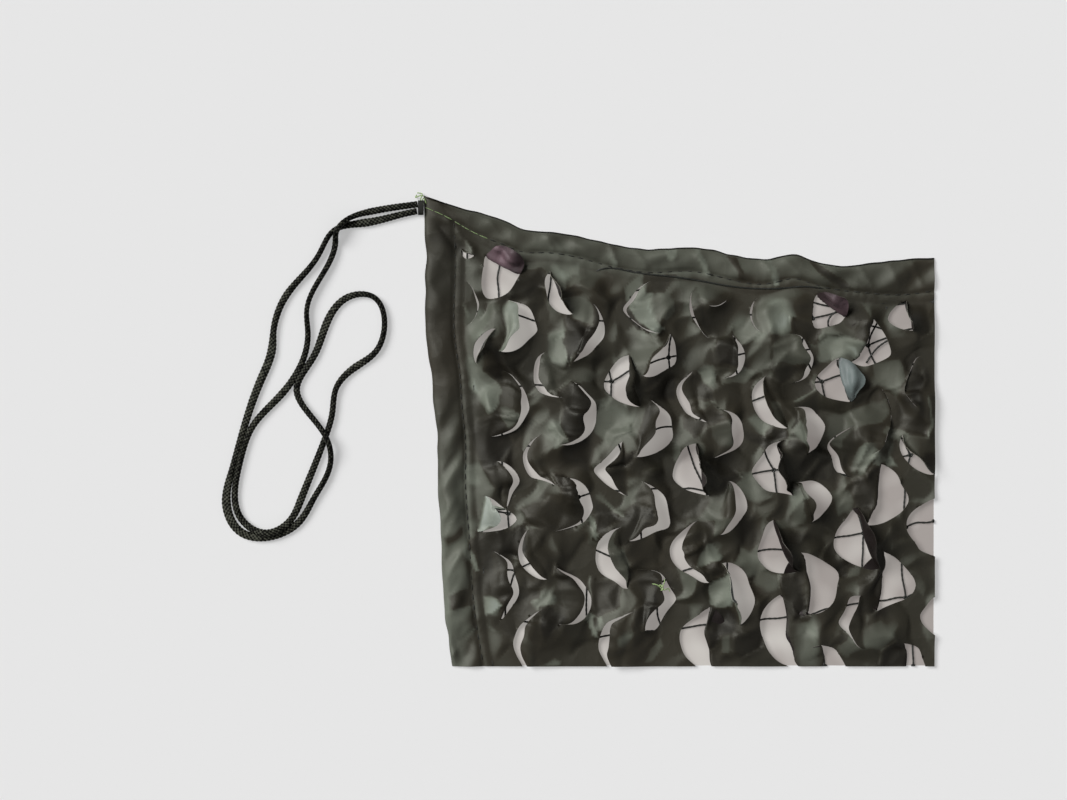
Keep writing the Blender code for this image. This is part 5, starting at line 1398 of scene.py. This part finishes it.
# ---- twine, stitches and ties ----------------------------------------------------------------
def twine(line, radius, pitch=TWINE_PITCH):
    """A two-ply twisted string: the radius swells twice round the ring, r (1 + k cos(2t - s)),
    and the swelling winds along it."""
    turn = 2 * math.pi * np.arange(TWINE_SIDES) / TWINE_SIDES
    swell = np.cos(2 * turn[None] - 2 * math.pi * lengths_along(line)[:, None] / pitch)
    return tube(line, radius * (1 + TWINE_RELIEF * swell), TWINE_SIDES)


def knot_spots():
    """Every knot of the mesh by row and column, the border and the cut edge with them."""
    rows = [None] * (len(KNOT_ROWS) + 2)
    corner = np.array([BORDER_INSET - HALF_WIDTH, HALF_HEIGHT - BORDER_INSET])
    for _ in range(SETTLE_TURNS):
        corner = np.array([left_edge(corner[1]) + BORDER_INSET, top_edge(corner[0]) - BORDER_INSET])
    across = [spot[0] for spot in KNOT_ROWS[0]]
    rows[0] = [tuple(corner)] + [(x, float(top_edge(np.array([x]))[0]) - BORDER_INSET)
                                 for x in across]
    for place, spots in enumerate(KNOT_ROWS, start=1):
        y = spots[0][1]
        rows[place] = [(float(left_edge(np.array([y]))[0]) + BORDER_INSET, y)] + spots
    edge = float(left_edge(np.array([-HALF_HEIGHT]))[0]) + BORDER_INSET
    rows[-1] = [(edge, -HALF_HEIGHT)] + [(x, -HALF_HEIGHT) for x in BOTTOM_KNOTS]
    return rows


def build_twine(finish):
    """The knotted mesh that lies under the cloth."""
    rows = knot_spots()
    length, shift, seed = STRING_WAVES
    parts, number = [], 0
    for r, row in enumerate(rows):
        for c, spot in enumerate(row):
            ends = []
            if c and r < len(rows) - 1:
                ends.append(row[c - 1])
            if r and c < len(rows[-1]):
                ends.append(rows[r - 1][c])
            for other in ends:
                on_border = r == 0 or c == 0
                side = 0 if on_border else 1 if number % 2 else -1
                number += 1
                start, end = np.array(other, float), np.array(spot, float)
                run = end - start
                across = np.array([-run[1], run[0]])
                places = max(STRING_LEAST, int(np.linalg.norm(run) / STRING_STEP))
                share = np.linspace(0, 1, places)
                belly = across * SLACK * side
                line = start + run * share[:, None] + belly * (4 * share * (1 - share))[:, None]
                if r == 0:
                    line[:, 1] = top_edge(line[:, 0]) - BORDER_INSET
                elif c == 0:
                    line[:, 0] = left_edge(line[:, 1]) + BORDER_INSET
                bow = np.sin(math.pi * share)
                wiggle = shift * waves(line[:, 0], line[:, 1], length, seed) * bow
                line += wiggle[:, None] * across / np.linalg.norm(run)
                line = np.clip(line, [-HALF_WIDTH, -HALF_HEIGHT], [HALF_WIDTH, HALF_HEIGHT])
                z = STRING_RADIUS + STRING_CLEAR + STRING_LIFT * (1 - bow)
                parts.append(twine(np.column_stack([line, z]), STRING_RADIUS))
            if r and c:
                parts.append(knot(spot, number))
    parts += [twine(smooth_line(route, LOOSE_STEP), STRING_RADIUS) for route in LOOSE_TWINE]
    piece = make_piece("twine_mesh", *joined(parts), [finish])
    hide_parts("backing_net")
    return piece


def knot(spot, seed):
    """A pulled-tight knot: a short coil of the string wound one and a half times about the
    crossing, low and slightly oval."""
    turn = np.linspace(0, 2 * math.pi * KNOT_TURNS, KNOT_PLACES) + seed
    line = np.stack([spot[0] + KNOT_LONG * np.cos(turn), spot[1] + KNOT_WIDE * np.sin(turn),
                     KNOT_LEVEL + KNOT_RISE * np.sin(turn / 2 + seed)], axis=1)
    line[:, :2] = np.clip(line[:, :2], [-HALF_WIDTH, KNOT_REACH - HALF_HEIGHT],
                          [HALF_WIDTH - KNOT_REACH, HALF_HEIGHT])
    return twine(line, STRING_RADIUS)


def build_border_string(finish):
    """The border string where it is whipped on over the cloth's edge under the top seam."""
    line = smooth_line(BORDER_OVER, OVER_STEP)
    end = np.minimum(np.arange(len(line)), np.arange(len(line))[::-1]) / OVER_PLACES
    z = sheet_height(line[:, 0], line[:, 1]) + STRING_RADIUS / 2 - OVER_DIP * (1 - smooth(end))
    string = twine(np.column_stack([line, z]), OVER_RADIUS)
    piece = make_piece("border_string", *string[:2], [finish])


def beads(places, runs, length, radius):
    """Stitches: on each place a blunt-ended bar along its run, in rings whose radius follows
    sqrt(1 - t^4) towards the ends, which dive into the cloth."""
    stations = np.linspace(-1, 1, STITCH_RINGS)
    size = radius * np.sqrt(np.maximum(1 - stations ** 4, STITCH_BLUNT))
    turn = 2 * math.pi * np.arange(THREAD_SIDES) / THREAD_SIDES
    aside = np.stack([-runs[:, 1], runs[:, 0], np.zeros(len(runs))], axis=1)
    run = np.column_stack([runs, np.zeros(len(runs))])
    ring = np.cos(turn)[:, None] * aside[:, None] + np.sin(turn)[:, None] * np.array([0, 0, 1.0])
    middle = places[:, None] + run[:, None] * (stations * length / 2)[:, None]
    points = middle[:, :, None] + size[:, None, None] * ring[:, None]
    points[..., 2] -= (STITCH_DIVE * stations ** 2)[:, None]
    a, b, c, d = ring_corners(STITCH_RINGS, THREAD_SIDES)
    last, fan = (STITCH_RINGS - 1) * THREAD_SIDES, range(1, THREAD_SIDES - 1)
    one = np.vstack([np.stack([a, b, c], 1), np.stack([a, c, d], 1),
                     [[0, k + 1, k] for k in fan], [[last, last + k, last + k + 1] for k in fan]])
    first = STITCH_RINGS * THREAD_SIDES * np.arange(len(places))
    return points.reshape(-1, 3), (one + first[:, None, None]).reshape(-1, 3)


def seam_line(side):
    """The seam's places, a stitch apart, and its direction at each."""
    at = np.arange(*(LEFT_SEWN if side == "left" else TOP_SEWN), SEAM_STEP)
    if side == "left":
        line = np.stack([left_edge(at) + along_table(LEFT_SEAM, at), at], axis=1)
    else:
        line = np.stack([at, top_edge(at) - along_table(TOP_SEAM, at)], axis=1)
    length = lengths_along(line)
    stops = np.arange(STITCH_PITCH / 2, length[-1], STITCH_PITCH)
    run = np.gradient(line, axis=0)
    place = np.stack([np.interp(stops, length, line[:, k]) for k in range(2)], axis=1)
    run = np.stack([np.interp(stops, length, run[:, k]) for k in range(2)], axis=1)
    return place, run / np.linalg.norm(run, axis=1)[:, None]


def build_stitches(dark, pale):
    """Rows of lock stitches along both seams."""
    left, left_run = seam_line("left")
    top, top_run = seam_line("top")
    by_left = hem_places(left[:, 0], left[:, 1])[-1]
    left, left_run = left[by_left], left_run[by_left]
    green = top[:, 0] < GREEN_UNTIL
    rows = [("hem_stitches", np.vstack([left, top[~green]]), np.vstack([left_run, top_run[~green]]),
             STITCH_LENGTH, STITCH_RADIUS, STITCH_RAISED, dark),
            ("corner_stitches", top[green], top_run[green],
             PALE_LENGTH, PALE_RADIUS, PALE_RAISED, pale)]
    for name, place, run, length, radius, raised, finish in rows:
        z = sheet_height(place[:, 0], place[:, 1]) + raised
        points, faces = beads(np.column_stack([place, z]), run, length, radius)
        piece = make_piece(name, points, faces, [finish])


def build_green_ends(finish):
    parts = [twine(smooth_line(route, GREEN_STEP), GREEN_RADIUS, GREEN_PITCH)
             for route in GREEN_ENDS]
    piece = make_piece("green_thread_ends", *joined(parts), [finish])


# ---- tie cord --------------------------------------------------------------------------------
def cord_line():
    """The cord's middle line: one smooth curve through the route's points, lifted by the hump
    where a strand lies over another; and how wide and how tall the soft braid lies along it."""
    route = np.array(CORD_ROUTE, float)
    run = lengths_along(route[:, :2])
    at = np.linspace(0, run[-1], int(run[-1] / CORD_STEP))
    wide = CORD_FLAT * np.interp(at, run, route[:, 3])
    tall = np.clip(1 / wide, CORD_LOW, CORD_HIGH)
    z = CORD_DIAMETER / 2 * tall + CORD_CLEAR + HUMP * smooth(np.interp(at, run, route[:, 2]))
    line = np.stack([spline(run, route[:, 0], at), spline(run, route[:, 1], at), z], axis=1)
    return line, wide, tall


def build_cord(finish):
    """The braided cord: radius r (1 + k cos(n t) cos(s)), the crowns of two sets of strands
    that wind opposite ways, over a ring that lies now flat, now on edge."""
    line, wide, tall = cord_line()
    length = lengths_along(line)
    turn = 2 * math.pi * np.arange(CORD_SIDES) / CORD_SIDES
    wind = math.pi * length[:, None] / BRAID_PITCH
    crown = np.cos(BRAID_STRANDS * turn) * np.cos(wind)
    oval = np.hypot(wide[:, None] * np.cos(turn), tall[:, None] * np.sin(turn))
    radius = CORD_DIAMETER / 2 * (oval + BRAID_RELIEF * crown)
    points, faces, around = tube(line, radius, CORD_SIDES)
    piece = make_piece("tie_cord_braid", points, faces, [finish], around)
    rubbed = (0.5 + 0.5 * crown) * np.interp(wide, RUBBED_WIDE, RUBBED_SHARE)[:, None]
    set_values(piece.data, "crown", np.concatenate([rubbed.ravel(), [0, 0]]))
    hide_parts("tie_cord")
    return piece, line


def build_whipping(finish):
    """The binding round both legs: one thread wound side by side over a squared oval."""
    turn = np.linspace(0, 2 * math.pi * WHIP_TURNS, WHIP_PLACES * WHIP_TURNS)
    middle = (CORD_ROUTE[0][1] + CORD_ROUTE[-1][1]) / 2
    wide, tall = (np.sign(part) * np.abs(part) ** WHIP_SQUARE * (size / 2 - WHIP_IN)
                  for part, size in ((np.cos(turn), WHIP_WIDE), (np.sin(turn), WHIP_TALL)))
    x = CORD_ROUTE[0][0] + WHIP_START - WHIP_THREAD + (WHIP_LENGTH + WHIP_OUT) * turn / turn[-1]
    line = np.stack([x, middle + wide, WHIP_TALL / 2 + tall], axis=1)
    run = np.gradient(line, axis=0)
    run /= np.linalg.norm(run, axis=1)[:, None]
    along = np.array([1.0, 0.0, 0.0])
    away = np.cross(run, along)
    ring = 2 * math.pi * np.arange(THREAD_SIDES) / THREAD_SIDES
    points = line[:, None] + WHIP_THREAD * (np.cos(ring)[None, :, None] * along
                                            + np.sin(ring)[None, :, None] * away[:, None])
    a, b, c, d = ring_corners(len(line), THREAD_SIDES)
    faces = np.vstack([np.stack([a, b, c], 1), np.stack([a, c, d], 1)])
    piece = make_piece("cord_binding", points.reshape(-1, 3), faces, [finish])
    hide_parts("cord_whipping")
    return piece


def main():
    build_camera()
    build_stage()
    cord, line = build_cord(braided_polyester("braided polyester, nearly black"))
    dark_thread = twisted_thread("spun polyester thread, near black", "#0C0D08", "#20211A",
                                 THREAD_ROUGH, THREAD_GRAIN)
    pale_thread = twisted_thread("spun polyester thread, pale green", "#63794C", "#93A877",
                                 THREAD_ROUGH, THREAD_GRAIN)
    string = twisted_thread("twisted polypropylene twine, black", "#0C0E0B", "#23251F",
                            TWINE_ROUGH, TWINE_GRAIN)
    binding = build_whipping(dark_thread)
    # each cloth's pale and dark colours are its painted sheen and painted shade, mixed in by the
    # tone attribute; the blush is the back's own mauve
    upper = coated_cloth("coated polyester, olive charcoal", "#2D2920", "#29271F", "#6D7267",
                         "#110D07", COAT_ROUGH, "#F4F4EA")
    under = coated_cloth("coated polyester, brown back", "#2B2522", "#26211F", "#66706E",
                         "#120D09", COAT_ROUGH, "#EADFE4", blush="#635056")
    edge = coated_cloth("cut edge of the coated cloth", "#6E6A5F", "#66665C", "#8A8A80",
                        "#3A3630", CUT_ROUGH, "#FFFFFF")
    cloth = build_cloth(upper, under, edge)
    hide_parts("net_cloth")
    mesh = build_twine(string)
    build_border_string(string)
    build_stitches(dark_thread, pale_thread)
    build_green_ends(twisted_thread("spun polyester thread, lime", "#74905A", "#A9BE84",
                                    THREAD_ROUGH, THREAD_GRAIN))
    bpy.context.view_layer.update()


main()
